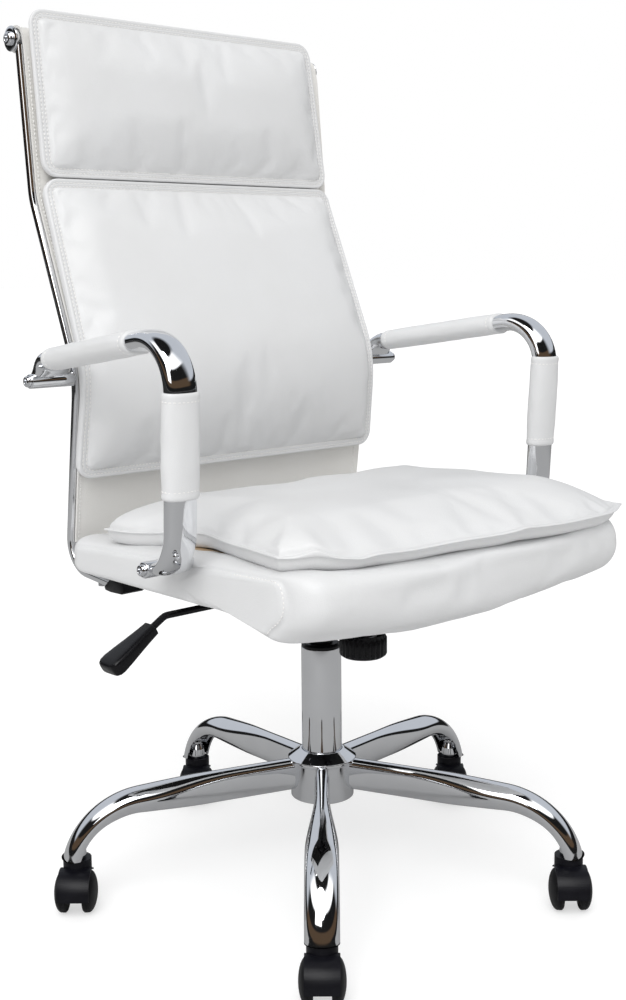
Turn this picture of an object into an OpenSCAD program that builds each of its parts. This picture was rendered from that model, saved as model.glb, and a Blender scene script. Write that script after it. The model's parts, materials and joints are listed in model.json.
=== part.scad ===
// High-back executive swivel chair: soft pads on a sling, loop arms, gas column, five-star castor base.
// The origin is on the floor, on the axis of the gas column. The chair faces -Y, and +Z is up.
// The height lever is on the -X side. All sizes are in millimetres.

/* [Base] */
// Distance of each castor stem from the column axis
base_radius = 311; // [300:1:320]
// Angle of the first leg from straight ahead, counted anticlockwise from above
first_leg_angle = -42.7; // [-90:0.1:90]
// Height of a leg's section where it meets the hub
leg_root_height = 39; // [36:1:42]
// Width of a leg's section where it meets the hub
leg_root_width = 19; // [17:1:22]
// Width of a leg's open end, round the castor socket
leg_tip_width = 38; // [36:1:40]
// Thickness of the pressed steel of the legs
leg_wall = 2; // [1.5:0.1:2.5]
// Outer diameter of the hub body
hub_d = 79; // [76:1:82]

/* [Castors] */
// Wheel diameter
wheel_d = 50; // [49:0.5:51]
// Width over both wheels
caster_width = 51; // [50:1:53]
// Distance from the stem axis to the axle
caster_offset = 15; // [14:0.5:16]
// Direction the castors point in, as seen from above
caster_heading = -132.7; // [-180:0.1:180]
// Stem diameter
stem_d = 11; // [10:1:11]

/* [Gas lift] */
// Outer diameter of the fixed column
column_d = 50; // [49:1:51]
// Height of the top of the fixed column
column_top = 296; // [290:1:300]
// Diameter of the sliding cylinder
lift_d = 28; // [27:1:29]
// Stroke of the lift
lift_stroke = 100; // [60:5:105]

/* [Mechanism] */
// Width of the pressed steel housing
housing_width = 160; // [156:1:164]
// Distance of the recline axis behind the column
recline_y = 40; // [36:1:44]
// Height of the recline axis
recline_z = 368; // [366:1:370]
// Distance of the tension bolt in front of the column
tension_y = 75; // [74:1:80]
// Diameter of the tension knob
knob_d = 58; // [50:1:60]
// Turns in the tension spring
spring_turns = 6; // [4:1:6]

/* [Seat] */
// Full width of the seat pad
seat_width = 500; // [490:2:510]
// Front of the seat pad, in front of the column
seat_front = 287; // [280:1:290]
// Rear of the seat pad, behind the column
seat_rear = 177; // [170:1:177]
// Full width of the loose cushion at its corners
cushion_width = 520; // [500:2:524]
// Width of the plywood seat board
board_width = 456; // [440:2:460]

/* [Back] */
// Distance between the outer faces of the side rails
rail_span = 476; // [470:1:480]
// Width of the flat rail tube
rail_width = 30; // [28:1:32]
// Thickness of the flat rail tube
rail_depth = 10; // [9:0.5:12]
// Width of the back pad at its foot
back_pad_width = 488; // [480:2:492]
// Width of the back pad at its top and of the head pad
head_pad_width = 458; // [450:2:464]
// Thickness of the two back pads
pad_depth = 40; // [34:1:42]
// Diameter of the top cross bar
top_bar_d = 26; // [24:1:28]

/* [Arms] */
// Width of the flat oval arm tube
arm_width = 38; // [34:1:40]
// Thickness of the flat oval arm tube
arm_depth = 22; // [20:1:24]
// Radius of the bend between armrest and post, on the tube's centre line
arm_bend = 52; // [46:1:56]
// Thickness of the padded sleeves on the tube
sleeve_wall = 2.2; // [1.5:0.1:3]
// Wall thickness of the arm tube
arm_wall = 2; // [1.5:0.1:2.5]

/* [Hidden] */
$fn = 64;
leg_count = 5;
wheel_r = wheel_d / 2;
axle_r = 3;
running_gap = 0.05;
soft_gap = 0.3;

// Base heights: the legs' centre line at the hub, and the open tips over the castors
hub_bottom = 103;
hub_shoulder = 149;
leg_root_z = 134.3;
leg_corner = [base_radius - 13, leg_root_z - 12];
leg_tip = [base_radius + 6, 51];
leg_trim_z = 62.2;
leg_tip_depth = 26;
socket_bottom = 61.6;
socket_top = 93;

// Gas lift heights
column_foot = 103;
bush_bottom = 196;
lift_bottom = 122;
taper_start = 330;
taper_end = 362;
lift_top = 366;
valve_top = 371;
piston_z = 238;

// Mechanism heights
housing_floor = 341;
sheet = 3;
// The front of the housing is shallower than the part round the column
front_floor = 360;
housing_step = -42;
housing_top = 384;
housing_front = -108;
housing_back = 60;
pivot_r = 6;
plate_z = 401;
board_z = plate_z + sheet;
board_t = 12;
lever_z = 376;
lever_pivot_x = -48;
lever_r = 4;
knob_bottom = 298;
knob_top = 326;
bolt_r = 5;

// The arm tube's corners, on the +X side: rear boss, rear corner, front corner, foot corner, foot boss
arm_rear = [267, 173, 638];
arm_rear_corner = [271, 164, 657];
arm_front_corner = [291, -115, 696];
arm_foot_corner = [290, -103, 455];
arm_foot = [285, -52, 446];
rear_boss = [0, 172, 633];
foot_boss = [0, -45, 444];
boss_outer_x = 296;

// The rail's centre line in the YZ plane: top, kink behind the head pad, lumbar bend, seat bend, front end
rail_top = [266.7, 1024];
rail_kink = [250, 845];
rail_lumbar = [168, 638];
rail_seat_bend = [199, 402];
rail_end = [108, 394];
top_bar_yz = [276, 1032];

// ---------- Geometry helpers ----------

function unit(v) = v / norm(v);
function smooth(t) = let (u = min(max(t, 0), 1)) u * u * (3 - 2 * u);
function blend(a, b, t) = a + (b - a) * smooth(t);

// Points of the arc of radius r that rounds corner b between a and c
function corner_arc(a, b, c, r, steps) =
    let (
        u = unit(a - b),
        v = unit(c - b),
        half = acos(u * v) / 2,
        centre = b + unit(u + v) * r / sin(half),
        from = b + u * r / tan(half) - centre,
        to = b + v * r / tan(half) - centre,
        turn = 180 - 2 * half
    )
    [for (i = [0:steps]) centre + (from * sin((1 - i / steps) * turn) + to * sin(i / steps * turn)) / sin(turn)];

// Outline of a closed polygon whose corners are given as [point, radius]
function rounded_outline(corners, steps) =
    let (n = len(corners))
    [for (i = [0:n - 1])
        each corner_arc(corners[(i + n - 1) % n][0], corners[i][0], corners[(i + 1) % n][0],
            corners[i][1], steps)];

// Direction of a path at point i
function heading(path, i) = unit(path[min(i + 1, len(path) - 1)] - path[max(i - 1, 0)]);

// A path moved sideways by d, in its own plane; positive d is to the left of its direction
function sideways(path, d) =
    [for (i = [0:len(path) - 1]) let (h = heading(path, i)) path[i] + d * [-h[1], h[0]]];

function reversed(list) = [for (i = [len(list) - 1:-1:0]) list[i]];

// Closed outline of the band between two sideways offsets of a path
function band(path, d1, d2) = concat(sideways(path, d1), reversed(sideways(path, d2)));

// The path with both ends lengthened by d
function lengthened(path, d) =
    let (n = len(path))
    concat([path[0] - d * heading(path, 0)], path, [path[n - 1] + d * heading(path, n - 1)]);

// Solid skin over a stack of closed rings that all have the same number of points
module skin(rings) {
    count = len(rings);
    sides = len(rings[0]);
    points = [for (ring = rings) each ring];
    walls = [for (i = [0:count - 2]) for (j = [0:sides - 1])
        let (k = (j + 1) % sides)
        [i * sides + j, i * sides + k, (i + 1) * sides + k, (i + 1) * sides + j]];
    first_cap = [for (j = [sides - 1:-1:0]) j];
    last_cap = [for (j = [0:sides - 1]) (count - 1) * sides + j];
    polyhedron(points, concat(walls, [first_cap, last_cap]), convexity = 8);
}

// Straight round rod from a to b
module rod(a, b, r) {
    d = b - a;
    translate(a) rotate([0, acos(d[2] / norm(d)), atan2(d[1], d[0])]) cylinder(h = norm(d), r = r);
}

// Extrudes a YZ outline along X, from x1 to x2
module across(x1, x2) {
    translate([x1, 0, 0]) rotate([90, 0, 90]) linear_extrude(x2 - x1) children();
}

module both_sides() {
    children();
    mirror([1, 0, 0]) children();
}

// ---------- Base ----------

leg_line = concat(
    [for (r = [36:24:204]) [r, leg_root_z - (r - 36) * 0.045]],
    corner_arc([36, leg_root_z], leg_corner, leg_tip, 88, 8),
    [leg_tip]
);

function leg_half_width(r) = blend(leg_root_width, leg_tip_width, (r - 115) / 110) / 2;
function leg_half_depth(r) = blend(leg_root_height, leg_tip_depth, (r - 160) / 150) / 2;
// Half of the gap along the leg's underside: a closed seam by the hub, wide open at the castor
function leg_gap(r) = blend(3, 68, (r - base_radius + 78) / 80);

// One C-shaped section of a leg, with wall thickness leg_wall
function leg_ring(i) =
    let (
        h = heading(leg_line, i),
        r = leg_line[i][0],
        a = leg_half_width(r),
        b = leg_half_depth(r),
        gap = leg_gap(r),
        steps = 10,
        angles = [for (s = [0:steps]) -180 + gap + s * (360 - 2 * gap) / steps],
        outer = [for (t = angles) [a * sin(t), b * cos(t)]],
        inner = [for (t = reversed(angles)) [(a - leg_wall) * sin(t), (b - leg_wall) * cos(t)]]
    )
    [for (p = concat(outer, inner)) [p[0], -(r - p[1] * h[1]), leg_line[i][1] + p[1] * h[0]]];

module base_leg(k) {
    color("silver")
    rotate([0, 0, first_leg_angle + 72 * (k - 1)]) difference() {
        skin([for (i = [0:len(leg_line) - 1]) leg_ring(i)]);
        translate([-50, -base_radius - 50, 0]) cube([100, 100, leg_trim_z]);
    }
}

module base_hub() {
    color("silver")
    rotate_extrude($fn = 96)
    polygon([
        [column_d / 2, hub_bottom], [hub_d / 2 - 1.5, hub_bottom], [hub_d / 2, hub_bottom + 1.5],
        [hub_d / 2, hub_shoulder], [hub_d / 2 + 3.5, hub_shoulder + 1], [hub_d / 2 + 3.5, hub_shoulder + 5],
        [column_d / 2 + 2, hub_shoulder + 15], [column_d / 2, hub_shoulder + 15]
    ]);
}

module at_caster(k) {
    a = first_leg_angle + 72 * (k - 1);
    translate([base_radius * sin(a), -base_radius * cos(a), 0]) children();
}

// Tapered sockets welded inside the tips of the legs
module caster_sockets() {
    color("silver")
    for (k = [1:leg_count]) at_caster(k) difference() {
        union() {
            translate([0, 0, socket_bottom]) cylinder(h = 8, r = 11);
            translate([0, 0, socket_bottom + 8]) cylinder(h = socket_top - socket_bottom - 8, r1 = 11, r2 = 8);
            translate([0, 0, socket_top]) cylinder(h = 4, r1 = 6, r2 = 3.5);
            rotate([0, 0, first_leg_angle + 72 * (k - 1)])
            translate([-4, -15.5, socket_bottom + 2]) cube([8, 8, 16]);
        }
        translate([0, 0, socket_bottom - 1]) cylinder(h = 30, r = stem_d / 2 + running_gap);
    }
}

// ---------- Castors ----------

module caster_frame(k) {
    at_caster(k) rotate([0, 0, caster_heading]) children();
}

module along_axle(y1, y2, r) {
    translate([caster_offset, y1, wheel_r]) rotate([-90, 0, 0]) cylinder(h = y2 - y1, r = r);
}

web_half = 9.5;
hood_half = 19;
module caster_hood(k) {
    color("#1a1a1c")
    caster_frame(k) difference() {
        union() {
            along_axle(-hood_half, hood_half, wheel_r + 2.5);
            cylinder(h = socket_bottom - 0.1, r = 17);
            translate([-15, -web_half, 24]) cube([16, 2 * web_half, 28]);
        }
        for (s = [-1, 1]) translate([0, s > 0 ? web_half : -web_half - 20, 0]) {
            translate([caster_offset, 0, wheel_r]) rotate([-90, 0, 0]) cylinder(h = 20, r = wheel_r + 0.6);
        }
        translate([-40, -30, -10]) cube([120, 60, 24]);
        translate([26, -30, -10]) cube([40, 60, 32]);
        translate([-40, -30, 0]) cube([33 , 60, 24]);
        for (y = [-30, web_half]) translate([-40, y, -1]) cube([45, 30 - web_half, 47]);
        along_axle(-20, 20, axle_r);
        translate([0, 0, 34]) cylinder(h = 40, r = stem_d / 2);
    }
}

module caster_pins(k) {
    color("dimgray")
    caster_frame(k) {
        translate([0, 0, 34]) cylinder(h = socket_bottom + 20 - 34, r = stem_d / 2);
        along_axle(-20, 20, axle_r);
    }
}

// Half section of a wheel: inner face, tread and domed outer face, about its axle
module wheel_section() {
    half = caster_width / 2;
    inner = web_half + 0.4;
    polygon(concat(
        [[axle_r + running_gap, inner], [wheel_r - 1.5, inner], [wheel_r, inner + 1.5], [wheel_r, inner + 6]],
        [for (t = [10:10:90]) [wheel_r * cos(t), inner + 6 + (half - inner - 6) * sin(t)]],
        [[0, 21], [axle_r + running_gap, 21]]
    ));
}

module caster_wheel(k, side) {
    color("#161618")
    caster_frame(k)
    translate([caster_offset, 0, wheel_r]) rotate([side > 0 ? -90 : 90, 0, 0])
    rotate_extrude($fn = 96) wheel_section();
}

// ---------- Gas lift ----------

module column_tube() {
    color("silver")
    difference() {
        translate([0, 0, column_foot]) cylinder(h = column_top - column_foot, r = column_d / 2, $fn = 96);
        translate([0, 0, column_foot + 4]) cylinder(h = column_top, r = column_d / 2 - 2);
        translate([0, 0, column_foot - 1]) cylinder(h = 10, r = 6.5);
    }
}

// Guide bush inside the column, with the rim that shows on top
module column_bush() {
    color("#202022")
    difference() {
        union() {
            translate([0, 0, bush_bottom]) cylinder(h = column_top - bush_bottom, r = column_d / 2 - 2);
            translate([0, 0, column_top]) cylinder(h = 2, r = column_d / 2 - 0.5);
            translate([0, 0, column_top + 2]) cylinder(h = 3, r1 = column_d / 2 - 0.5, r2 = column_d / 2 - 4);
        }
        translate([0, 0, bush_bottom - 1]) cylinder(h = 130, r = lift_d / 2 + running_gap);
    }
}

module thrust_bearing() {
    color("gray")
    translate([0, 0, column_foot + 4]) difference() {
        cylinder(h = 6, r = 14);
        translate([0, 0, -1]) cylinder(h = 8, r = 6.5);
    }
}

module piston_rod() {
    color("gainsboro") {
        translate([0, 0, column_foot - 4]) cylinder(h = piston_z - column_foot + 4, r = 5);
        translate([0, 0, piston_z]) cylinder(h = 14, r = lift_d / 2 - 3 - running_gap);
        translate([0, 0, column_foot + 10]) cylinder(h = 3, r = 12);
    }
}

module retaining_clip() {
    color("dimgray")
    translate([0, 0, column_foot - 2.5]) difference() {
        cylinder(h = 2, r = 10);
        translate([0, 0, -1]) cylinder(h = 4, r = 5);
        translate([0, -2, -1]) cube([12, 4, 4]);
    }
}

module lift_cylinder() {
    color("#26262a")
    difference() {
        union() {
            translate([0, 0, lift_bottom]) cylinder(h = taper_start - lift_bottom, r = lift_d / 2);
            translate([0, 0, taper_start]) cylinder(h = taper_end - taper_start, r1 = lift_d / 2, r2 = lift_d / 2 - 1);
            translate([0, 0, taper_end]) cylinder(h = lift_top - taper_end, r = 9);
        }
        translate([0, 0, lift_bottom - 1]) cylinder(h = 12, r = 5 + running_gap);
        translate([0, 0, lift_bottom + 10]) cylinder(h = 190, r = lift_d / 2 - 3);
        translate([0, 0, 338]) cylinder(h = 40, r = 4 + running_gap);
    }
}

module valve_pin() {
    color("gainsboro")
    translate([0, 0, 346]) cylinder(h = valve_top - 346, r = 4);
}

// ---------- Mechanism ----------

module mechanism_housing() {
    color("#1d1d1f")
    difference() {
        union() {
            translate([-housing_width / 2, housing_step, housing_floor])
            cube([housing_width, housing_back - housing_step, housing_top - housing_floor]);
            translate([-housing_width / 2, housing_front, front_floor])
            cube([housing_width, housing_step - housing_front, housing_top - front_floor]);
            translate([0, 0, taper_start]) cylinder(h = housing_floor - taper_start, r = 20);
        }
        difference() {
            union() {
                translate([-housing_width / 2 + sheet, housing_step + sheet, housing_floor + sheet])
                cube([housing_width - 2 * sheet, housing_back - housing_step - 2 * sheet, 100]);
                translate([-housing_width / 2 + sheet, housing_front + sheet, front_floor + sheet])
                cube([housing_width - 2 * sheet, housing_back - housing_front - 2 * sheet, 100]);
            }
            cylinder(h = taper_end, r = 20);
        }
        translate([0, 0, taper_start])
        cylinder(h = taper_end - taper_start, r1 = lift_d / 2, r2 = lift_d / 2 - 1);
        translate([-housing_width, recline_y, recline_z]) rotate([0, 90, 0])
        cylinder(h = 2 * housing_width, r = pivot_r);
        translate([-housing_width / 2 - 1, -9, 364]) cube([sheet + 2, 18, 60]);
        for (y = [-5, 0]) translate([0, y - tension_y, front_floor - 10]) cylinder(h = 30, r = 7);
        translate([-7, -5 - tension_y, front_floor - 10]) cube([14, 5, 30]);
    }
}

module tilt_pivot_pin() {
    color("gainsboro")
    translate([-housing_width / 2 - 8, recline_y, recline_z]) rotate([0, 90, 0])
    cylinder(h = housing_width + 16, r = pivot_r);
}

slider_z = housing_floor + sheet + 0.2;
module tilt_lock_slider() {
    color("#2a2a2d") {
        difference() {
            translate([lever_pivot_x - 12, -10, slider_z]) cube([24, 20, lever_z + 7 - slider_z]);
            translate([lever_pivot_x - 13, -6.2, lever_z - 10]) cube([26, 12.4, 30]);
            translate([lever_pivot_x, -20, lever_z]) rotate([-90, 0, 0]) cylinder(h = 40, r = 3);
        }
        translate([lever_pivot_x, -10, lever_z]) rotate([-90, 0, 0]) cylinder(h = 20, r = 3);
    }
}

// The lever bends down by lever_droop at the corner lever_bend_x, on a radius of elbow_r
lever_bend_x = -237;
lever_droop = 31;
lever_inner_x = 16;
elbow_r = 15;
elbow_tangent = elbow_r * tan(lever_droop / 2);

// A point on the lever's drooping part, at distance d from the corner
function on_droop(d) = [lever_bend_x - d * cos(lever_droop), 0, lever_z - d * sin(lever_droop)];

module lever_rod() {
    color("#18181a")
    difference() {
        union() {
            translate([lever_bend_x + elbow_tangent, 0, lever_z - elbow_r]) rotate([90, 0, 0]) rotate([0, 0, 90]) {
                translate([elbow_r, 0, 0]) rotate([90, 0, 0])
                cylinder(h = lever_inner_x - lever_bend_x - elbow_tangent, r = lever_r);
                rotate_extrude(angle = lever_droop) translate([elbow_r, 0]) circle(r = lever_r);
                rotate([0, 0, lever_droop]) translate([elbow_r, 0, 0]) rotate([-90, 0, 0])
                cylinder(h = 40 - elbow_tangent, r = lever_r);
            }
            translate([lever_pivot_x, -6, lever_z]) rotate([-90, 0, 0]) cylinder(h = 12, r = 6.5);
        }
        translate([lever_pivot_x, -20, lever_z]) rotate([-90, 0, 0]) cylinder(h = 40, r = 3 + running_gap);
    }
}

module lever_paddle() {
    color("#18181a")
    difference() {
        translate(on_droop(77)) rotate([0, -lever_droop, 0]) hull() {
            for (y = [-10, 10]) translate([7, y, 0]) scale([1, 1, 1.25]) sphere(r = 6, $fn = 24);
            for (y = [-4, 4]) translate([50, y, 0]) sphere(r = 5.5, $fn = 24);
        }
        rod(on_droop(elbow_tangent), on_droop(40), lever_r);
    }
}

module mechanism_top_plate() {
    ear_x = housing_width / 2 + 0.3;
    color("#1d1d1f")
    difference() {
        union() {
            translate([-95, -100, plate_z]) cube([190, 200, sheet]);
            both_sides() translate([ear_x, recline_y, recline_z]) {
                rotate([0, 90, 0]) cylinder(h = sheet, r = 14);
                translate([0, -14, 0]) cube([sheet, 28, plate_z - recline_z]);
            }
        }
        translate([-housing_width, recline_y, recline_z]) rotate([0, 90, 0])
        cylinder(h = 2 * housing_width, r = pivot_r + running_gap);
        plate_screw_spots() translate([0, 0, plate_z - 10]) cylinder(h = 30, r = 3);
    }
}

module tension_bolt() {
    color("gainsboro")
    translate([0, -tension_y, knob_bottom + 3]) cylinder(h = plate_z - knob_bottom - 3, r = bolt_r);
}

// Coil spring between the knob's cup and the underside of the housing's front
spring_foot = knob_bottom + 9;
module tension_spring() {
    wire = 2;
    coil = 15;
    steps = 14;
    bottom = spring_foot + wire;
    rise = front_floor - wire - bottom;
    color("gainsboro")
    translate([0, -tension_y, bottom])
    skin([for (i = [0:spring_turns * steps])
        let (a = 360 * i / steps, up = rise * i / (spring_turns * steps))
        [for (j = [0:5]) let (r = coil + wire * cos(60 * j)) [r * cos(a), r * sin(a), up - wire * sin(60 * j)]]]);
}

module tension_knob() {
    ribs = 18;
    color("#1b1b1d")
    translate([0, -tension_y, 0]) difference() {
        union() {
            translate([0, 0, knob_bottom]) cylinder(h = 3, r1 = knob_d / 2 - 5, r2 = knob_d / 2 - 2);
            translate([0, 0, knob_bottom + 3]) cylinder(h = knob_top - knob_bottom - 3, r = knob_d / 2 - 2);
            for (i = [0:ribs - 1]) rotate([0, 0, i * 360 / ribs])
                translate([knob_d / 2 - 2.5, 0, knob_bottom + 4]) cylinder(h = knob_top - knob_bottom - 5, r = 2.5);
        }
        translate([0, 0, spring_foot]) cylinder(h = 60, r = knob_d / 2 - 7);
        translate([0, 0, knob_bottom + 2.5]) cylinder(h = 30, r = bolt_r + running_gap);
    }
}

// ---------- Seat ----------

module plate_screw_spots() {
    for (x = [-80, 80], y = [-85, 85]) translate([x, y, 0]) children();
}

rail_mid_x = (rail_span - rail_width) / 2;
module rail_screw_spots() {
    for (x = [-rail_mid_x, rail_mid_x], y = [124, 144]) translate([x, y, 0]) children();
}

// Plywood board with a block on each side that takes the arm's foot bolt
module seat_board() {
    color("burlywood")
    difference() {
        union() {
            translate([-board_width / 2, -235, board_z]) cube([board_width, 385, board_t]);
            both_sides() translate([board_width / 2 - 28, -80, board_z + board_t]) cube([28, 70, 36]);
        }
        plate_screw_spots() translate([0, 0, plate_z - 10]) cylinder(h = 20, r = 3);
        rail_screw_spots() translate([0, 0, plate_z - 10]) cylinder(h = 20, r = 3);
        both_sides() arm_bolt_shank(foot_boss, board_width / 2 - 22);
    }
}

// Screws through the mechanism's plate and through the rails, into the seat board
module seat_screws() {
    color("dimgray") {
        plate_screw_spots() {
            translate([0, 0, plate_z]) cylinder(h = 10, r = 3);
            translate([0, 0, plate_z - 4]) cylinder(h = 4, r = 6);
        }
        rail_screw_spots() {
            translate([0, 0, rail_end[1] - 4.5]) cylinder(h = plate_z + 10 - rail_end[1] + 4.5, r = 3);
            translate([0, 0, rail_end[1] - 9]) cylinder(h = 4.5, r = 5.5);
        }
    }
}

seat_side = rounded_outline([
    [[-seat_front + 58, 376], 22], [[-seat_front, 404], 26], [[-seat_front + 6, 463], 24],
    [[seat_rear - 3, 446], 14], [[seat_rear, board_z], 26], [[-120, board_z], 120]
], 6);
seat_plan = rounded_outline([
    [[0, -seat_front - 4], 700], [[seat_width / 2, -seat_front + 28], 50], [[seat_width / 2, seat_rear], 26],
    [[-seat_width / 2, seat_rear], 26], [[-seat_width / 2, -seat_front + 28], 50]
], 6);

module seat_pad() {
    color("#eceae6")
    difference() {
        intersection() {
            across(-seat_width / 2, seat_width / 2) polygon(seat_side);
            translate([0, 0, 300]) linear_extrude(300) polygon(seat_plan);
        }
        translate([-board_width / 2, -235, board_z - 1]) cube([board_width, 385, board_t + 1]);
        both_sides() translate([board_width / 2 - 28, -80, board_z]) cube([28, 70, board_t + 36]);
        both_sides() translate([0, foot_boss[1], foot_boss[2]]) rotate([0, 90, 0]) cylinder(h = 400, r = 9);
    }
}

cushion_plan = rounded_outline([
    [[0, -292], 900], [[cushion_width / 2, -262], 24], [[cushion_width / 2 - 26, -80], 500],
    [[cushion_width / 2 - 10, 105], 20], [[-cushion_width / 2 + 10, 105], 20],
    [[-cushion_width / 2 + 26, -80], 500], [[-cushion_width / 2, -262], 24]
], 5);

// Loose cushion: a thin rim with a low crown above and below it, tipped a little with the seat
module seat_cushion() {
    color("#f0efec")
    translate([0, 0, 468]) rotate([-2.3, 0, 0]) hull() {
        translate([0, 0, -2]) linear_extrude(6) polygon(cushion_plan);
        translate([0, -6, 12]) linear_extrude(9) scale([0.8, 0.72]) polygon(cushion_plan);
        translate([0, -6, -10]) linear_extrude(3) scale([0.9, 0.9]) polygon(cushion_plan);
    }
}

// ---------- Back ----------

rail_line = concat(
    [rail_top],
    corner_arc(rail_top, rail_kink, rail_lumbar, 80, 4),
    corner_arc(rail_kink, rail_lumbar, rail_seat_bend, 130, 8),
    corner_arc(rail_lumbar, rail_seat_bend, rail_end, 38, 10),
    [rail_end]
);

module rail_tube() {
    color("silver")
    difference() {
        across(rail_mid_x - rail_width / 2, rail_mid_x + rail_width / 2)
        polygon(band(rail_line, -rail_depth / 2, rail_depth / 2));
        across(rail_mid_x - rail_width / 2 + 1.5, rail_mid_x + rail_width / 2 - 1.5)
        polygon(band(lengthened(rail_line, 3), -rail_depth / 2 + 1.5, rail_depth / 2 - 1.5));
        rail_screw_spots() translate([0, 0, rail_end[1] - 20]) cylinder(h = 50, r = 3);
        across(rail_mid_x - rail_width, rail_mid_x + rail_width)
        translate(top_bar_yz) circle(r = top_bar_d / 2 + 0.02, $fn = 96);
    }
}

module left_rail() {
    rail_tube();
}

module right_rail() {
    mirror([1, 0, 0]) rail_tube();
}

// Black plugs in the front ends of the rails, each with a tongue under the rail
module rail_end_caps() {
    face = rail_end[0] - 0.8;
    plug = [[rail_end[0] - 26, rail_end[1] + 3], [face, rail_end[1] + 5], [face, rail_end[1] - 9],
        [rail_end[0] - 12, rail_end[1] - 9], [rail_end[0] - 26, rail_end[1] - 2]];
    tongue = [[face - 1, rail_end[1] - 5.8], [rail_end[0] + 10, rail_end[1] - 4.9],
        [rail_end[0] + 10, rail_end[1] - 9], [face - 1, rail_end[1] - 9]];
    color("#151517")
    both_sides() {
        across(rail_mid_x - rail_width / 2, rail_mid_x + rail_width / 2) {
            polygon(plug);
            polygon(tongue);
        }
        across(rail_mid_x - 12.5, rail_mid_x + 12.5)
        polygon(band([rail_end - [2, 0.18], rail_end + [9, 0.85]], -3, 3));
    }
}

top_bar_half = rail_span / 2;
module top_bar() {
    color("silver")
    translate([0, top_bar_yz[0], top_bar_yz[1]]) difference() {
        union() {
            translate([-top_bar_half, 0, 0]) rotate([0, 90, 0]) cylinder(h = rail_span, r = top_bar_d / 2);
            both_sides() translate([top_bar_half, 0, 0]) rotate([0, 90, 0])
                cylinder(h = 4, r1 = top_bar_d / 2 + 2.5, r2 = top_bar_d / 2 + 0.5);
        }
        translate([-top_bar_half + 8, 0, 0]) rotate([0, 90, 0]) cylinder(h = rail_span - 16, r = top_bar_d / 2 - 2);
        translate([-top_bar_half - 10, 0, 0]) rotate([0, 90, 0]) cylinder(h = rail_span + 20, r = 4);
    }
}

module top_bar_bolts() {
    color("gainsboro")
    translate([0, top_bar_yz[0], top_bar_yz[1]]) both_sides() difference() {
        union() {
            translate([top_bar_half - 20, 0, 0]) rotate([0, 90, 0]) cylinder(h = 24, r = 4);
            translate([top_bar_half + 4, 0, 0]) rotate([0, 90, 0]) cylinder(h = 5, r = 8);
        }
        translate([top_bar_half + 5, 0, 0]) rotate([0, 90, 0]) cylinder(h = 8, r = 3.5, $fn = 6);
    }
}

sling_near = rail_depth / 2 + soft_gap;
sling_far = sling_near + 3;
sling_foot_z = 436;
// The stretch of the rail's line that the sling covers
sling_line = concat(
    [rail_top],
    corner_arc(rail_top, rail_kink, rail_lumbar, 80, 4),
    corner_arc(rail_kink, rail_lumbar, rail_seat_bend, 130, 8),
    [rail_lumbar + (rail_seat_bend - rail_lumbar) * (rail_lumbar[1] - sling_foot_z) / (rail_lumbar[1] - rail_seat_bend[1])]
);

// Stretched back sheet: in front of the rails, then over the top bar and round under it
module back_sling() {
    t = sling_far - sling_near;
    wrap_r = top_bar_d / 2 + soft_gap + t / 2;
    over_bar = [for (a = [-75:15:180]) top_bar_yz + wrap_r * [cos(a), sin(a)]];
    sheet_line = concat(over_bar, sideways(sling_line, -sling_near - t / 2));
    color("#eceae6")
    across(-rail_span / 2 + 0.5, rail_span / 2 - 0.5)
    polygon(band(sheet_line, -t / 2, t / 2));
}

// Space in front of the sling that a back pad of the given height range fills
module pad_block(z1, z2, d1, d2) {
    line = concat([rail_top + 3 * (rail_top - rail_kink) / 10], sling_line);
    intersection() {
        across(-300, 300) polygon(band(line, -d1, -d2));
        translate([-300, 0, z1]) cube([600, 400, z2 - z1]);
    }
}

// A pad's front outline, narrower at the top, with rounded corners
module pad_front(w1, w2, z1, z2) {
    translate([0, 400, 0]) rotate([90, 0, 0]) linear_extrude(400)
    polygon(rounded_outline([
        [[-w1 / 2, z1], 26], [[w1 / 2, z1], 26], [[w2 / 2, z2], 26], [[-w2 / 2, z2], 26]
    ], 5));
}

seam_z = 867;
module head_pad() {
    color("#efeeea")
    intersection() {
        pad_block(seam_z + 1, 1069, sling_far + soft_gap, sling_far + pad_depth);
        pad_front(head_pad_width, head_pad_width - 16, seam_z + 1, 1069);
    }
}

module back_pad() {
    color("#efeeea")
    intersection() {
        pad_block(516, seam_z - 1, sling_far + soft_gap, sling_far + pad_depth);
        pad_front(back_pad_width, head_pad_width, 516, seam_z - 1);
    }
}

// ---------- Arms ----------

arm_line = concat(
    [arm_rear],
    corner_arc(arm_rear, arm_rear_corner, arm_front_corner, 16, 4),
    corner_arc(arm_rear_corner, arm_front_corner, arm_foot_corner, arm_bend, 9),
    corner_arc(arm_front_corner, arm_foot_corner, arm_foot, 45, 7),
    [arm_foot]
);

// One oval section across the arm's line; the wide way is level and the thin way is in the bend's plane
function oval_ring(centre, h, a, b, sides) =
    let (side = unit(cross(h, cross([1, 0, 0], h))), up = cross(side, h))
    [for (j = [0:sides - 1]) let (t = 360 * j / sides) centre + a * cos(t) * side + b * sin(t) * up];

// How far a ring near one end of the tube has spread over its cross boss, from 0 to 1
function arm_spread(i, at, reach) = pow(max(0, 1 - norm(arm_line[i] - at) / reach), 2);

module arm_boss(at, x1, x2, r) {
    translate([x1, at[1], at[2]]) rotate([0, 90, 0]) cylinder(h = x2 - x1, r = r);
}

module arm_bolt_shank(at, x1) {
    translate([x1, at[1], at[2]]) rotate([0, 90, 0]) cylinder(h = boss_outer_x - x1, r = 4);
}

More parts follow.
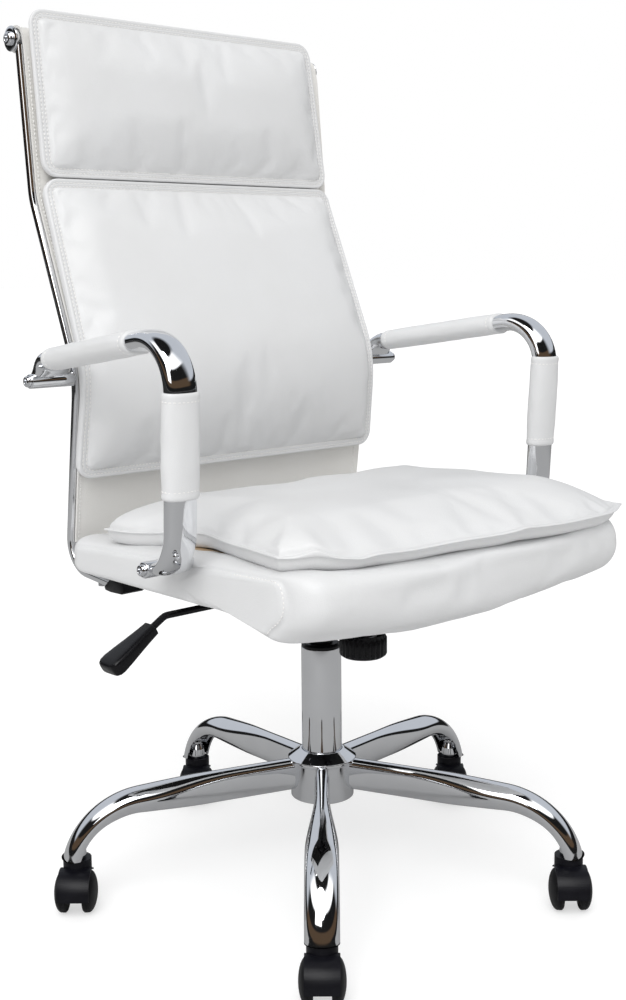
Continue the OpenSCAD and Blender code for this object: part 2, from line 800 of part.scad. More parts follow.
// The arm's sections from point first to point last, made smaller all round by inset
function arm_rings(first, last, inset) =
    [for (i = [first:last])
        let (
            foot = arm_spread(i, arm_foot, 56),
            spread = max(foot, arm_spread(i, arm_rear, 30)),
            inner = (foot > 0 ? seat_width : rail_span) / 2 + 1,
            shift = ((inner + boss_outer_x) / 2 - arm_line[i][0]) * spread,
            half = arm_width / 2 + ((boss_outer_x - inner) / 2 - 1 - arm_width / 2) * spread
        )
        oval_ring(arm_line[i] + [shift, 0, 0], heading(arm_line, i), half - inset,
            arm_depth / 2 - 4.5 * spread - inset, 16)];

module arm_tube() {
    color("silver")
    difference() {
        union() {
            difference() {
                skin(arm_rings(0, len(arm_line) - 1, 0));
                skin(arm_rings(1, len(arm_line) - 2, arm_wall));
            }
            arm_boss(rear_boss, rail_span / 2, boss_outer_x, 8.5);
            arm_boss(foot_boss, board_width / 2, boss_outer_x, 9);
        }
        arm_bolt_shank(rear_boss, rail_span / 2 - 1);
        arm_bolt_shank(foot_boss, board_width / 2 - 1);
    }
}

module left_arm() {
    arm_tube();
}

module right_arm() {
    mirror([1, 0, 0]) arm_tube();
}

// Padded sleeve on a straight stretch of the tube, from a to b
module sleeve(a, b) {
    h = unit(b - a);
    outer_a = arm_width / 2 + sleeve_wall;
    outer_b = arm_depth / 2 + sleeve_wall;
    difference() {
        skin([for (p = [a, b]) oval_ring(p, h, outer_a, outer_b, 16)]);
        skin([for (p = [a - 2 * h, b + 2 * h]) oval_ring(p, h, arm_width / 2 + 0.15, arm_depth / 2 + 0.15, 16)]);
    }
}

rest_line = arm_front_corner - arm_rear_corner;
post_line = arm_foot_corner - arm_front_corner;
module arm_sleeves() {
    color("#f0efec")
    both_sides() {
        sleeve(arm_rear_corner + rest_line * 0.055, arm_rear_corner + rest_line * 0.715);
        sleeve(arm_front_corner + post_line * 0.245, arm_front_corner + post_line * 0.7);
    }
}

module arm_bolts() {
    color("gainsboro")
    both_sides() {
        for (end = [[rear_boss, rail_span / 2], [foot_boss, board_width / 2 - 22]]) {
            arm_bolt_shank(end[0], end[1]);
            translate([boss_outer_x, end[0][1], end[0][2]]) rotate([0, 90, 0]) difference() {
                cylinder(h = 5, r = 7);
                translate([0, 0, 2]) cylinder(h = 8, r = 3, $fn = 6);
            }
        }
    }
}

// ---------- The chair ----------

base_hub();
for (k = [1:leg_count]) {
    base_leg(k);
    caster_hood(k);
    caster_pins(k);
    caster_wheel(k, 1);
    caster_wheel(k, -1);
}
caster_sockets();
column_tube();
column_bush();
thrust_bearing();
piston_rod();
retaining_clip();
lift_cylinder();
valve_pin();
mechanism_housing();
tilt_pivot_pin();
tilt_lock_slider();
lever_rod();
lever_paddle();
mechanism_top_plate();
tension_bolt();
tension_spring();
tension_knob();
seat_board();
seat_screws();
seat_pad();
seat_cushion();
left_rail();
right_rail();
rail_end_caps();
top_bar();
top_bar_bolts();
back_sling();
head_pad();
back_pad();
left_arm();
right_arm();
arm_sleeves();
arm_bolts();
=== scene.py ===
"""Looks of a high-back executive swivel chair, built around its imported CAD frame.

The frame stands on the floor with the gas column on its Z axis, and the chair faces -Y. Lengths are
written in millimetres where they repeat the design's own dimensions, and MM turns them into metres.
"""
import json
import math

import bpy
from mathutils import Matrix, Vector, noise


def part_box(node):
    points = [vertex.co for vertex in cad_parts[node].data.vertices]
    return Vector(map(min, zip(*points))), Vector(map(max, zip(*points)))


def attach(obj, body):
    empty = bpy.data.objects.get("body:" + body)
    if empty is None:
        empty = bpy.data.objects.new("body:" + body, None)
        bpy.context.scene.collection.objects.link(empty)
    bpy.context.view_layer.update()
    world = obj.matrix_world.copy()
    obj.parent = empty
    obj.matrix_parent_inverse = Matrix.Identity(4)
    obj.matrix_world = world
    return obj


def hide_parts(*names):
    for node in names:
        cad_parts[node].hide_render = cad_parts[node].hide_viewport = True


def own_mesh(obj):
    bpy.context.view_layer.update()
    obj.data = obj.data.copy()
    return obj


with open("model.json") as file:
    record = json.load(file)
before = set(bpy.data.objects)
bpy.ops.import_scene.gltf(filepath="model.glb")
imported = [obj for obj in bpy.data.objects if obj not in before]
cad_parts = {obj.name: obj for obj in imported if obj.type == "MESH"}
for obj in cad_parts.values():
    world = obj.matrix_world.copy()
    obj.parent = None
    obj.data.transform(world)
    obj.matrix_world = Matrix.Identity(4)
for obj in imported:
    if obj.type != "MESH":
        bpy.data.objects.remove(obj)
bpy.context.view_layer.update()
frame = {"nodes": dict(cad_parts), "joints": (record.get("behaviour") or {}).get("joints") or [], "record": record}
joints = {j["name"]: j for j in frame["joints"]}

MM = 0.001
X_AXIS, Y_AXIS, Z_AXIS = Vector((1, 0, 0)), Vector((0, 1, 0)), Vector((0, 0, 1))
LEGS = range(1, 6)
SIDES = (-1, 1)


# ---------- Points and paths ----------

def point(x, y, z):
    """A point given in millimetres."""
    return Vector((x, y, z)) * MM


def clamp(value, low=0.0, high=1.0):
    return min(max(value, low), high)


def smooth(t):
    t = clamp(t)
    return t * t * (3 - 2 * t)


def mix(a, b, t):
    return a + (b - a) * t


def bell(distance, width):
    """Falls from 1 at distance 0 towards 0 past the width."""
    return math.exp(-(distance / width) ** 2)


def mirrored(p, side):
    """The point p, made for the +X side, on the given side."""
    return Vector((p.x * side, p.y, p.z))


def corner_arc(a, b, c, r, steps):
    """Points of the arc of radius r that rounds corner b between a and c."""
    u, v = (a - b).normalized(), (c - b).normalized()
    half = u.angle(v) / 2
    centre = b + (u + v).normalized() * (r / math.sin(half))
    start = b + u * (r / math.tan(half)) - centre
    end = b + v * (r / math.tan(half)) - centre
    turn = math.pi - 2 * half
    arc = []
    for i in range(steps + 1):
        t = i / steps
        arc.append(centre + (start * math.sin((1 - t) * turn) + end * math.sin(t * turn)) / math.sin(turn))
    return arc


def rounded_path(corners, radii, steps=12):
    """A path through corners, with each inner corner rounded by its own radius."""
    path = [corners[0]]
    for i, r in enumerate(radii, 1):
        path += corner_arc(corners[i - 1], corners[i], corners[i + 1], r, steps)
    return path + [corners[-1]]


def places_along(path, shares):
    """(span, share of that span) for each share of a path's length; shares(length) gives them, rising."""
    lengths = [(b - a).length for a, b in zip(path, path[1:])]
    total = sum(lengths)
    i, passed = 0, 0.0
    for share in shares(total):
        at = total * share
        while i < len(lengths) - 1 and passed + lengths[i] < at:
            passed += lengths[i]
            i += 1
        yield i, clamp((at - passed) / max(lengths[i], 1e-9))


def evenly(path, step):
    """The same path with points about step apart."""
    def shares(total):
        count = max(2, round(total / step))
        return [k / count for k in range(count + 1)]
    return [path[i].lerp(path[i + 1], share) for i, share in places_along(path, shares)]


def spline(points, t):
    """Point at t, from 0 to 1, on a smooth curve through the points."""
    spans = len(points) - 1
    i = min(int(t * spans), spans - 1)
    u = t * spans - i
    p1, p2 = points[i], points[i + 1]
    p0 = points[i - 1] if i > 0 else p1 * 2 - p2
    p3 = points[i + 2] if i + 2 <= spans else p2 * 2 - p1
    return 0.5 * (2 * p1 + (p2 - p0) * u + (2 * p0 - 5 * p1 + 4 * p2 - p3) * u * u
                  + (3 * p1 - p0 - 3 * p2 + p3) * u * u * u)


# ---------- Meshes ----------

def make(name, verts, faces, body, finish, slot, replaces=(), sharp=40, subdivide=0):
    """A mesh piece that rides on a body, with its material; its record slot is not used."""
    data = bpy.data.meshes.new(name)
    data.from_pydata([tuple(v) for v in verts], [], faces)
    data.validate()
    for face in data.polygons:
        face.use_smooth = True
    data.set_sharp_from_angle(angle=math.radians(sharp))
    data.materials.append(finish)
    piece = bpy.data.objects.new(name, data)
    bpy.context.scene.collection.objects.link(piece)
    if subdivide:
        piece.modifiers.new("subdivision", "SUBSURF").render_levels = subdivide
        piece.modifiers["subdivision"].levels = subdivide
    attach(piece, body)
    if replaces:
        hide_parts(*replaces)
    return piece


def joined(parts):
    """Several (verts, faces) as one."""
    verts, faces = [], []
    for part_verts, part_faces in parts:
        base = len(verts)
        verts += part_verts
        faces += [[base + i for i in face] for face in part_faces]
    return verts, faces


def skin(rings, closed=True, caps=True):
    """(verts, faces) of a skin over a stack of rings that all have the same number of points."""
    sides = len(rings[0])
    spans = sides if closed else sides - 1
    faces = []
    for base in range(0, (len(rings) - 1) * sides, sides):
        for j in range(spans):
            after = (j + 1) % sides
            faces.append([base + j, base + after, base + sides + after, base + sides + j])
    if caps:
        last = (len(rings) - 1) * sides
        faces += [list(range(sides))[::-1], [last + j for j in range(sides)]]
    return [p for ring in rings for p in ring], faces


def swept(path, section, lateral, caps=True):
    """A section swept along a path. section(i) gives (sideways, upwards) pairs; lateral is sideways."""
    rings = []
    for i, p in enumerate(path):
        along = (path[min(i + 1, len(path) - 1)] - path[max(i - 1, 0)]).normalized()
        side = (lateral - along * lateral.dot(along)).normalized()
        up = side.cross(along)
        rings.append([p + side * a + up * b for a, b in section(i)])
    return skin(rings, caps=caps)


def lathed(profile, ease, origin, axis, sides):
    """A profile of (radius, distance) pairs in mm, eased and turned about an axis.

    The profile starts and ends on the axis or meets itself.
    """
    profile = [(r * MM, d * MM) for r, d in eased(profile, ease)]
    axis = Vector(axis).normalized()
    across = axis.orthogonal().normalized()
    over = axis.cross(across)
    rings = [[origin + axis * d + (across * math.cos(t) + over * math.sin(t)) * max(r, 1e-6)
              for t in [2 * math.pi * j / sides for j in range(sides)]] for r, d in profile]
    return skin(rings, caps=profile[0] != profile[-1])


def eased(profile, r, steps=4):
    """The profile with every inner corner rounded by up to r; as it is where r is 0."""
    points = [Vector((a, b, 0)) for a, b in profile]
    if not r:
        return profile
    out = [profile[0]]
    for i in range(1, len(points) - 1):
        before, here, after = points[i - 1], points[i], points[i + 1]
        u, v = before - here, after - here
        if u.length < 1e-9 or v.length < 1e-9 or abs(u.angle(v) - math.pi) < 0.12:
            out.append(profile[i])
            continue
        room = 0.45 * min(u.length, v.length)
        radius = min(r, room * math.tan(u.angle(v) / 2))
        out += [(p.x, p.y) for p in corner_arc(before, here, after, radius, steps)]
    return out + [profile[-1]]


def bent(value, power):
    """A sine or cosine, bent so that a circle turns into a superellipse."""
    return math.copysign(abs(value) ** (2 / power), value)


def superellipse(a, b, power, sides=48):
    """Closed outline between an ellipse (power 2) and a rectangle (a high power)."""
    turns = [2 * math.pi * j / sides for j in range(sides)]
    return [(a * bent(math.cos(t), power), b * bent(math.sin(t), power)) for t in turns]


def stitches(path, normals, length=3.2, gap=1.7, thick=0.7):
    """Short raised threads laid one after another along a path, as (verts, faces)."""
    def shares(total):
        count = max(1, int(total / ((length + gap) * MM)))
        return [(k + 0.5) / count for k in range(count)]

    parts = []
    for i, share in places_along(path, shares):
        centre = path[i].lerp(path[i + 1], share)
        along = (path[i + 1] - path[i]).normalized()
        normal = normals[i].lerp(normals[i + 1], share).normalized()
        side = along.cross(normal).normalized()
        rings = []
        for along_share, size in ((-1, 0.25), (-0.7, 0.85), (0, 1), (0.7, 0.85), (1, 0.25)):
            middle = centre + along * (along_share * length / 2 * MM)
            rings.append([middle + (side * math.cos(t) + normal * math.sin(t)) * (thick * size * MM)
                          for t in [math.pi / 3 * j for j in range(6)]])
        parts.append(skin(rings))
    return joined(parts)


# ---------- Materials ----------

class Shading:
    """A node tree with its nodes and links, and short ways to add to it."""

    def __init__(self, owner):
        owner.use_nodes = True
        self.nodes, self.links = owner.node_tree.nodes, owner.node_tree.links

    def add(self, kind, **inputs):
        """A new node with its inputs set; a socket given as a value is linked."""
        node = self.nodes.new(kind)
        for key, value in inputs.items():
            self.put(value, node, key.replace("_", " "))
        return node

    def put(self, value, node, key):
        """Sets an input of a node, or links a socket to it."""
        if isinstance(value, bpy.types.NodeSocket):
            self.links.new(value, node.inputs[key])
        else:
            node.inputs[key].default_value = value

    def cloudy(self, scale, detail=4.0):
        """Object coordinates, and a noise over them."""
        place = self.add("ShaderNodeTexCoord").outputs["Object"]
        return place, self.add("ShaderNodeTexNoise", Scale=scale, Detail=detail, Vector=place).outputs["Fac"]

    def ranged(self, source, low, high):
        """The source, which runs from 0 to 1, stretched to low..high."""
        return self.add("ShaderNodeMapRange", To_Min=low, To_Max=high, Value=source).outputs["Result"]

    def ramp(self, source, stops):
        """Colours along a source that runs from 0 to 1, from (place, colour) stops."""
        ramp = self.add("ShaderNodeValToRGB", Fac=source)
        elements = ramp.color_ramp.elements
        while len(elements) < len(stops):
            elements.new(0.5)
        for element, (at, color) in zip(elements, stops):
            element.position = at
            element.color = (*color, 1)
        return ramp.outputs["Color"]

    def mixed(self, share, first, second):
        """A shader between two others."""
        mixer = self.add("ShaderNodeMixShader", Fac=share)
        self.links.new(first, mixer.inputs[1])
        self.links.new(second, mixer.inputs[2])
        return mixer.outputs["Shader"]


class Paint(Shading):
    """A Principled material."""

    def __init__(self, name, color, **inputs):
        self.material = bpy.data.materials.new(name)
        super().__init__(self.material)
        self.shader = self.nodes["Principled BSDF"]
        self.set(Base_Color=(*color, 1), **inputs)

    def set(self, **inputs):
        for key, value in inputs.items():
            self.put(value, self.shader, key.replace("_", " "))

    def tint(self, source, dark, light):
        """Base colour that wanders between two colours."""
        self.set(Base_Color=self.ramp(source, [(0.3, dark), (0.7, light)]))

    def bump(self, source, distance, strength):
        bump = self.add("ShaderNodeBump", Distance=distance, Strength=strength, Height=source)
        self.set(Normal=bump.outputs["Normal"])


def leatherette(name, dark, light):
    """Coated cloth with a fine pebble grain and a soft sheen of varying gloss."""
    paint = Paint(name, light, Specular_IOR_Level=0.42, Sheen_Weight=0.04, Sheen_Roughness=0.4)
    place, cloudy = paint.cloudy(9, 3)
    paint.tint(cloudy, dark, light)
    paint.set(Roughness=paint.ranged(cloudy, 0.40, 0.52))
    pebbles = paint.add("ShaderNodeTexVoronoi")
    pebbles.feature = "SMOOTH_F1"
    for key, value in (("Scale", 760), ("Smoothness", 0.6), ("Vector", place)):
        paint.put(value, pebbles, key)
    creases = paint.add("ShaderNodeTexNoise", Scale=120, Detail=5, Vector=place)
    both = paint.add("ShaderNodeMath")
    both.operation = "ADD"
    paint.links.new(pebbles.outputs["Distance"], both.inputs[0])
    paint.links.new(creases.outputs["Fac"], both.inputs[1])
    paint.bump(both.outputs["Value"], 0.00022, 0.5)
    return paint.material


def polished_chrome(name, color=(0.80, 0.81, 0.83), roughness=(0.03, 0.075)):
    """Chrome plate with faint smears in its polish."""
    paint = Paint(name, color, Metallic=1.0)
    _, smears = paint.cloudy(26, 6)
    paint.set(Roughness=paint.ranged(smears, *roughness))
    paint.tint(smears, tuple(0.96 * c for c in color), color)
    return paint.material


def moulded_plastic(name, dark, light, roughness=(0.32, 0.46)):
    """Moulded plastic with a fine spark-eroded texture."""
    paint = Paint(name, light, Specular_IOR_Level=0.2)
    place, cloudy = paint.cloudy(40, 4)
    paint.tint(cloudy, dark, light)
    paint.set(Roughness=paint.ranged(cloudy, *roughness))
    fine = paint.add("ShaderNodeTexNoise", Scale=1400, Vector=place)
    paint.bump(fine.outputs["Fac"], 0.00008, 0.6)
    return paint.material


def bare_steel(name, color=(0.5, 0.5, 0.52)):
    """Turned steel with fine rings of tool marks."""
    paint = Paint(name, color, Metallic=1.0)
    place, cloudy = paint.cloudy(300, 3)
    paint.set(Roughness=paint.ranged(cloudy, 0.22, 0.38))
    rings = paint.add("ShaderNodeTexWave", Scale=400, Vector=place)
    rings.bands_direction = "Z"
    paint.bump(rings.outputs["Fac"], 0.00003, 0.5)
    return paint.material


def plywood(name):
    """Plywood: stretched grain in two browns."""
    paint = Paint(name, (0.55, 0.4, 0.25), Roughness=0.6)
    place = paint.add("ShaderNodeTexCoord").outputs["Object"]
    stretch = paint.add("ShaderNodeMapping", Scale=(60, 6, 60), Vector=place)
    grain = paint.add("ShaderNodeTexNoise", Scale=1.0, Detail=8, Vector=stretch.outputs["Vector"])
    paint.tint(grain.outputs["Fac"], (0.36, 0.24, 0.14), (0.62, 0.47, 0.31))
    paint.bump(grain.outputs["Fac"], 0.0003, 0.5)
    return paint.material


BLACK = ((0.004, 0.004, 0.005), (0.007, 0.007, 0.008))

white = leatherette("white_leatherette", (0.672, 0.675, 0.678), (0.698, 0.703, 0.709))
# The sling is the same white leatherette as the pads and sleeves, painted warmer and a little lighter: painted
# warm shade, and painted light that lifts it where it sits in shade.
sling_warm_shade = leatherette("sling_painted_warm_shade", (0.735, 0.722, 0.69), (0.765, 0.755, 0.73))
thread = moulded_plastic("white_thread", (0.80, 0.79, 0.77), (0.84, 0.83, 0.82), (0.5, 0.6))
chrome = polished_chrome("chrome")
bolt_chrome = polished_chrome("bolt_chrome", (0.72, 0.73, 0.75), (0.08, 0.16))
castor_black = moulded_plastic("castor_plastic", (0.003, 0.003, 0.005), (0.005, 0.005, 0.008))
wheel_black = moulded_plastic("wheel_plastic", *BLACK, (0.38, 0.5))
lever_black = moulded_plastic("lever_plastic", *BLACK, (0.18, 0.3))
trim_black = moulded_plastic("trim_plastic", *BLACK, (0.25, 0.35))
black_paint = moulded_plastic("black_paint", *BLACK, (0.3, 0.42))
steel = bare_steel("bright_steel")
spring_steel = bare_steel("spring_steel", (0.25, 0.25, 0.26))
dust_cloth = moulded_plastic("dust_cloth", (0.006, 0.006, 0.006), (0.012, 0.012, 0.012), (0.8, 0.9))
board_wood = plywood("plywood")

SLOT_FINISH = {
    "chrome": chrome, "bolt_chrome": bolt_chrome, "black_trim": trim_black, "caster_plastic": castor_black,
    "wheel_plastic": wheel_black, "bright_steel": steel, "black_steel": black_paint,
    "black_plastic": lever_black, "spring_steel": spring_steel, "plywood": board_wood,
    "padded_leatherette": white, "leatherette": sling_warm_shade,
}


def dress_cad_nodes():
    """Every CAD node gets its slot's material and slightly broken edges."""
    slots = {s["node"]: s["material_slot"] for s in frame["record"]["subparts"]}
    for name, node in frame["nodes"].items():
        node.data.materials.clear()
        node.data.materials.append(SLOT_FINISH[slots[name]])
        weld = node.modifiers.new("weld", "WELD")
        weld.merge_threshold = 0.00001
        edges = node.modifiers.new("edges", "BEVEL")
        edges.width = 0.0006
        edges.segments = 2
        edges.limit_method = "ANGLE"
        edges.angle_limit = math.radians(35)
        edges.harden_normals = True


# ---------- Star base ----------

BASE_RADIUS = 311
LEG_ROOT, LEG_CORNER, LEG_TIP = (34, 134.3), (BASE_RADIUS - 13, 122.3), (BASE_RADIUS + 6, 51)
LEG_WALL, LEG_TRIM_Z = 2, 62.2
HUB_RADIUS, HUB_BOTTOM, HUB_SHOULDER = 39.5, 103, 149
COLUMN_RADIUS, COLUMN_FOOT, COLUMN_TOP = 25, 103, 296
SOCKET_BOTTOM = 61.6
SOCKET_PROFILE = [(5.6, 0), (11, 0), (11.4, 5), (10.4, 13), (7.6, 20), (6.6, 21), (7.2, 23.5), (6, 26),
                  (0, 27.4)]


def leg_angle(k):
    """Direction of leg k, taken from its castor's swivel joint."""
    x, y, _ = joints[f"caster_swivel_{k}"]["pos_m"]
    return math.atan2(x, -y)


def leg_path():
    """A leg's centre line, in its own vertical plane: (distance from the column, 0, height)."""
    ends = [point(r, 0, z) for r, z in (LEG_ROOT, LEG_CORNER, LEG_TIP)]
    return evenly(rounded_path(ends, [88 * MM], 40), 4 * MM)


def leg_section(r, inset):
    """C-shaped outline at r mm from the column: tall and flat-sided at the hub, broad and open at the tip."""
    half_width = mix(9.5, 19, smooth((r - 112) / 118)) - inset
    half_depth = mix(19.5, 13, smooth((r - 150) / 150)) - inset
    power = mix(3.4, 2.1, smooth((r - 90) / 130))
    gap = math.radians(mix(2, 70, smooth((r - BASE_RADIUS + 92) / 86)))
    sides = 44
    outline = []
    for j in range(sides + 1):
        t = -math.pi + gap + j * (2 * math.pi - 2 * gap) / sides
        a, b = bent(math.sin(t), power), bent(math.cos(t), power)
        outline.append((half_width * a * MM, half_depth * b * MM))
    return outline


def make_leg(k):
    path = leg_path()
    angle = leg_angle(k)
    outward = Vector((math.sin(angle), -math.cos(angle), 0))
    lateral = Z_AXIS.cross(outward)

    def section(i):
        r = path[i].x / MM
        return leg_section(r, 0) + leg_section(r, LEG_WALL)[::-1]

    line = [outward * p.x + Z_AXIS * p.z for p in path]
    verts, faces = swept(line, section, -lateral)
    floor = LEG_TRIM_Z * MM
    verts = [Vector((v.x, v.y, max(v.z, floor))) for v in verts]
    make(f"leg_{k}_shell", verts, faces, "base", chrome, "chrome", [f"base_leg_{k}"], sharp=50)


def make_hub():
    profile = [(COLUMN_RADIUS, HUB_BOTTOM), (HUB_RADIUS, HUB_BOTTOM), (HUB_RADIUS, HUB_SHOULDER),
               (HUB_RADIUS + 3.5, HUB_SHOULDER + 1), (HUB_RADIUS + 3.5, HUB_SHOULDER + 5),
               (COLUMN_RADIUS + 3, HUB_SHOULDER + 15), (COLUMN_RADIUS + 0.3, HUB_SHOULDER + 15.6),
               (COLUMN_RADIUS + 0.3, HUB_BOTTOM + 1), (COLUMN_RADIUS, HUB_BOTTOM)]
    make("hub_shell", *lathed(profile, 1.6, Vector(), Z_AXIS, 128), "base", chrome, "chrome", ["base_hub"])


def make_column():
    outer, wall = COLUMN_RADIUS, 2
    profile = [(7, COLUMN_FOOT), (outer, COLUMN_FOOT), (outer, COLUMN_TOP), (outer - wall, COLUMN_TOP),
               (outer - wall, COLUMN_FOOT + 4), (7, COLUMN_FOOT + 4), (7, COLUMN_FOOT)]
    make("column_shell", *lathed(profile, 0.8, Vector(), Z_AXIS, 128), "base", chrome, "chrome",
         ["column_tube"])
    bore = outer - 11 + 0.05
    top = COLUMN_TOP
    rim = [(bore, 200), (outer - wall, 200), (outer - wall, top + 0.2), (outer - 0.4, top + 0.2),
           (outer - 0.4, top + 3), (outer - 4, top + 5), (bore, top + 5), (bore, 200)]
    make("column_rim", *lathed(rim, 0.8, Vector(), Z_AXIS, 96), "base", trim_black, "black_trim",
         ["column_bush"])


def make_sockets():
    """Tapered castor sockets inside the legs' open tips, each with a round nut on top."""
    parts = []
    for k in LEGS:
        x, y, _ = joints[f"caster_swivel_{k}"]["pos_m"]
        parts.append(lathed(SOCKET_PROFILE, 1.2, Vector((x, y, SOCKET_BOTTOM * MM)), Z_AXIS, 48))
    make("socket_cones", *joined(parts), "base", chrome, "chrome", ["caster_sockets"])


# ---------- Castors ----------

WHEEL_RADIUS, WEB_HALF, CASTOR_HALF = 25, 9.5, 25.5


def make_wheel(k, side, letter):
    joint = joints[f"wheel_spin_{k}_{letter}"]
    inner, radius = WEB_HALF + 0.4, WHEEL_RADIUS
    profile = [(3.1, inner), (23.4, inner), (radius, inner + 1.6), (radius, inner + 4.6),
               (radius - 0.5, inner + 5), (radius - 0.5, inner + 5.6), (radius - 0.1, inner + 6)]
    dome_start, dome = inner + 6, CASTOR_HALF - inner - 6
    for i in range(1, 13):
        t = math.radians(90 * i / 13)
        profile.append(((radius - 0.1) * math.cos(t), dome_start + dome * math.sin(t)))
    profile += [(0, CASTOR_HALF)]
    turned = lathed(profile, 0, Vector(joint["pos_m"]), Vector(joint["axis"]) * side, 80)
    make(f"wheel_{k}_{letter}_tyre", *turned, f"wheel_{k}_{letter}", wheel_black, "wheel_plastic",
         [f"caster_wheel_{k}_{letter}"], sharp=30)


def soften_hoods():
    """The castor hoods keep their CAD shape, with rounder edges."""
    for k in LEGS:
        frame["nodes"][f"caster_hood_{k}"].modifiers["edges"].width = 0.0008
        frame["nodes"][f"caster_hood_{k}"].modifiers["edges"].segments = 3


# ---------- Back frame ----------

RAIL_CORNERS = [point(0, y, z) for y, z in ((266.7, 1024), (250, 845), (168, 638), (199, 402), (108, 394))]
RAIL_RADII = [80 * MM, 130 * MM, 38 * MM]
RAIL_X, RAIL_WIDTH, RAIL_DEPTH = 223, 30, 10
BAR_CENTRE, BAR_RADIUS = point(0, 276, 1032), 11.7
RAIL_SPAN = 476

rail_line = evenly(rounded_path(RAIL_CORNERS, RAIL_RADII, 24), 4 * MM)


def make_rails():
    for side, name in ((1, "left_rail"), (-1, "right_rail")):
        path = [p + X_AXIS * (side * RAIL_X * MM) for p in rail_line]
        section = superellipse(RAIL_WIDTH / 2 * MM, RAIL_DEPTH / 2 * MM, 4.5, 56)
        make(f"{name}_tube", *swept(path, lambda i: section, X_AXIS), "seat", chrome, "chrome", [name])


def make_top_bar():
    half = RAIL_SPAN / 2
    r = BAR_RADIUS
    cap = [(r, half), (r + 3.3, half), (r + 3, half + 1.8), (r, half + 2.8), (0, half + 2.8)]
    ends = [(a, -d) for a, d in cap[::-1]] + cap
    make("top_bar_tube", *lathed(ends, 0.8, BAR_CENTRE, X_AXIS, 96), "seat", chrome, "chrome", ["top_bar"])
    make("top_bar_bolt_heads", *bolt_heads([BAR_CENTRE], half + 2.8, 8), "seat", bolt_chrome, "bolt_chrome",
         ["top_bar_bolts"])


def bolt_heads(centres, x, radius):
    """Domed socket-head bolts on both sides of the chair, at x mm from its middle."""
    parts = []
    for centre in centres:
        for side in SIDES:
            outline = [(0, -1), (radius, -1), (radius, 2.6), (radius * 0.86, 4.4), (radius * 0.55, 5),
                       (radius * 0.5, 4.4), (radius * 0.5, 1.4), (0, 1.4)]
            start = mirrored(centre, side)
            start.x = side * x * MM
            parts.append(lathed(outline, 0.6, start, X_AXIS * side, 36))
    return joined(parts)


def make_end_caps():
    """Black plugs in the rails' front ends, with a pad under each rail."""
    parts = []
    for side in SIDES:
        centre = side * RAIL_X
        outline = [(81, 398), (100, 400), (107.5, 400), (117, 392), (119, 389.5), (117, 386.5), (106, 385.4),
                   (83, 386.2), (80, 388.5)]
        rings = []
        for x, shrink in ((-15.5, 0.9), (-14.6, 1), (14.6, 1), (15.5, 0.9)):
            rings.append([point(centre + x, mix(100, y, shrink), mix(393, z, shrink)) for y, z in outline])
        parts.append(skin(rings))
    make("rail_end_plugs", *joined(parts), "seat", trim_black, "black_trim", ["rail_end_caps"])


# ---------- Back sling and pads ----------

SLING_NEAR, SLING_FAR = RAIL_DEPTH / 2 + 0.3, RAIL_DEPTH / 2 + 3.3
SLING_FOOT_Z, SEAM_Z = 436, 867


def back_curve():
    """The rails' line as (height, point, forward normal), from above the top bar to the sling's foot."""
    start = RAIL_CORNERS[0] + (RAIL_CORNERS[0] - RAIL_CORNERS[1]) * 0.3
    path = evenly([start] + rounded_path(RAIL_CORNERS, RAIL_RADII, 24), 3 * MM)
    curve = []
    for i, p in enumerate(path):
        along = (path[min(i + 1, len(path) - 1)] - path[max(i - 1, 0)]).normalized()
        forward = Vector((0, along.z, -along.y))
        curve.append((p.z, p, forward))
        if p.z < (SLING_FOOT_Z - 14) * MM:
            break
    return curve


BACK_CURVE = back_curve()


def on_back(x, z, out):
    """The point at height z and x mm across, out mm in front of the rails' line."""
    z = clamp(z * MM, BACK_CURVE[-1][0] + 1e-6, BACK_CURVE[0][0] - 1e-6)
    low, high = 0, len(BACK_CURVE) - 1
    while high - low > 1:
        middle = (low + high) // 2
        low, high = (middle, high) if BACK_CURVE[middle][0] > z else (low, middle)
    share = (BACK_CURVE[low][0] - z) / (BACK_CURVE[low][0] - BACK_CURVE[high][0])
    base = BACK_CURVE[low][1].lerp(BACK_CURVE[high][1], share)
    forward = BACK_CURVE[low][2].lerp(BACK_CURVE[high][2], share).normalized()
    return base + X_AXIS * (x * MM) + forward * (out * MM)


def make_sling():
    """Sheet stretched in front of the rails and over the top bar, with a rolled hem down each side."""
    half = RAIL_SPAN / 2 - 0.5
    thick = SLING_FAR - SLING_NEAR
    wrap = (BAR_RADIUS + 0.3 + thick / 2) * MM
    turns = [math.radians(a) for a in range(-78, 181, 6)]
    over = [BAR_CENTRE + wrap * Vector((0, math.cos(t), math.sin(t))) for t in turns]
    front = [on_back(0, z, SLING_NEAR + thick / 2) for z in range(1018, SLING_FOOT_Z - 8, -5)]
    path = evenly(over + front, 4 * MM)
    columns = [-half + (2 * half - 5) * i / 90 for i in range(91)]

    def section(i):
        z = path[i].z / MM
        outline = []
        for x in columns:
            edge = half - abs(x)
            sag = -1.1 * smooth(edge / 60) * (1 + 0.5 * noise.noise(Vector((x / 90, z / 60, 2))))
            hem = 1.3 * bell(edge - 4, 3.4) - 0.7 * bell(edge - 9.5, 1.6)
            seam = -bell(z - SEAM_Z, 2.5)
            outline.append((x * MM, (thick / 2 + hem + sag + seam) * MM))
        back = [(x * MM, (b - thick * MM)) for x, (_, b) in zip(columns[::-1], outline[::-1])]
        return outline + back

    verts, faces = swept(path, section, -X_AXIS)
    # The sheet wears the sling's painted warm shade and painted light.
    make("sling_sheet", verts, faces, "seat", sling_warm_shade, "leatherette", ["back_sling"], sharp=60)
    rows = []
    for side in SIDES:
        heights = list(range(1010, SLING_FOOT_Z, -4))
        line = [on_back(side * (half - 9.5), z, SLING_FAR - 0.1) for z in heights]
        rows.append(stitches(line, [on_back(0, z, 1) - on_back(0, z, 0) for z in heights]))
    make("sling_stitches", *joined(rows), "seat", thread, "leatherette")


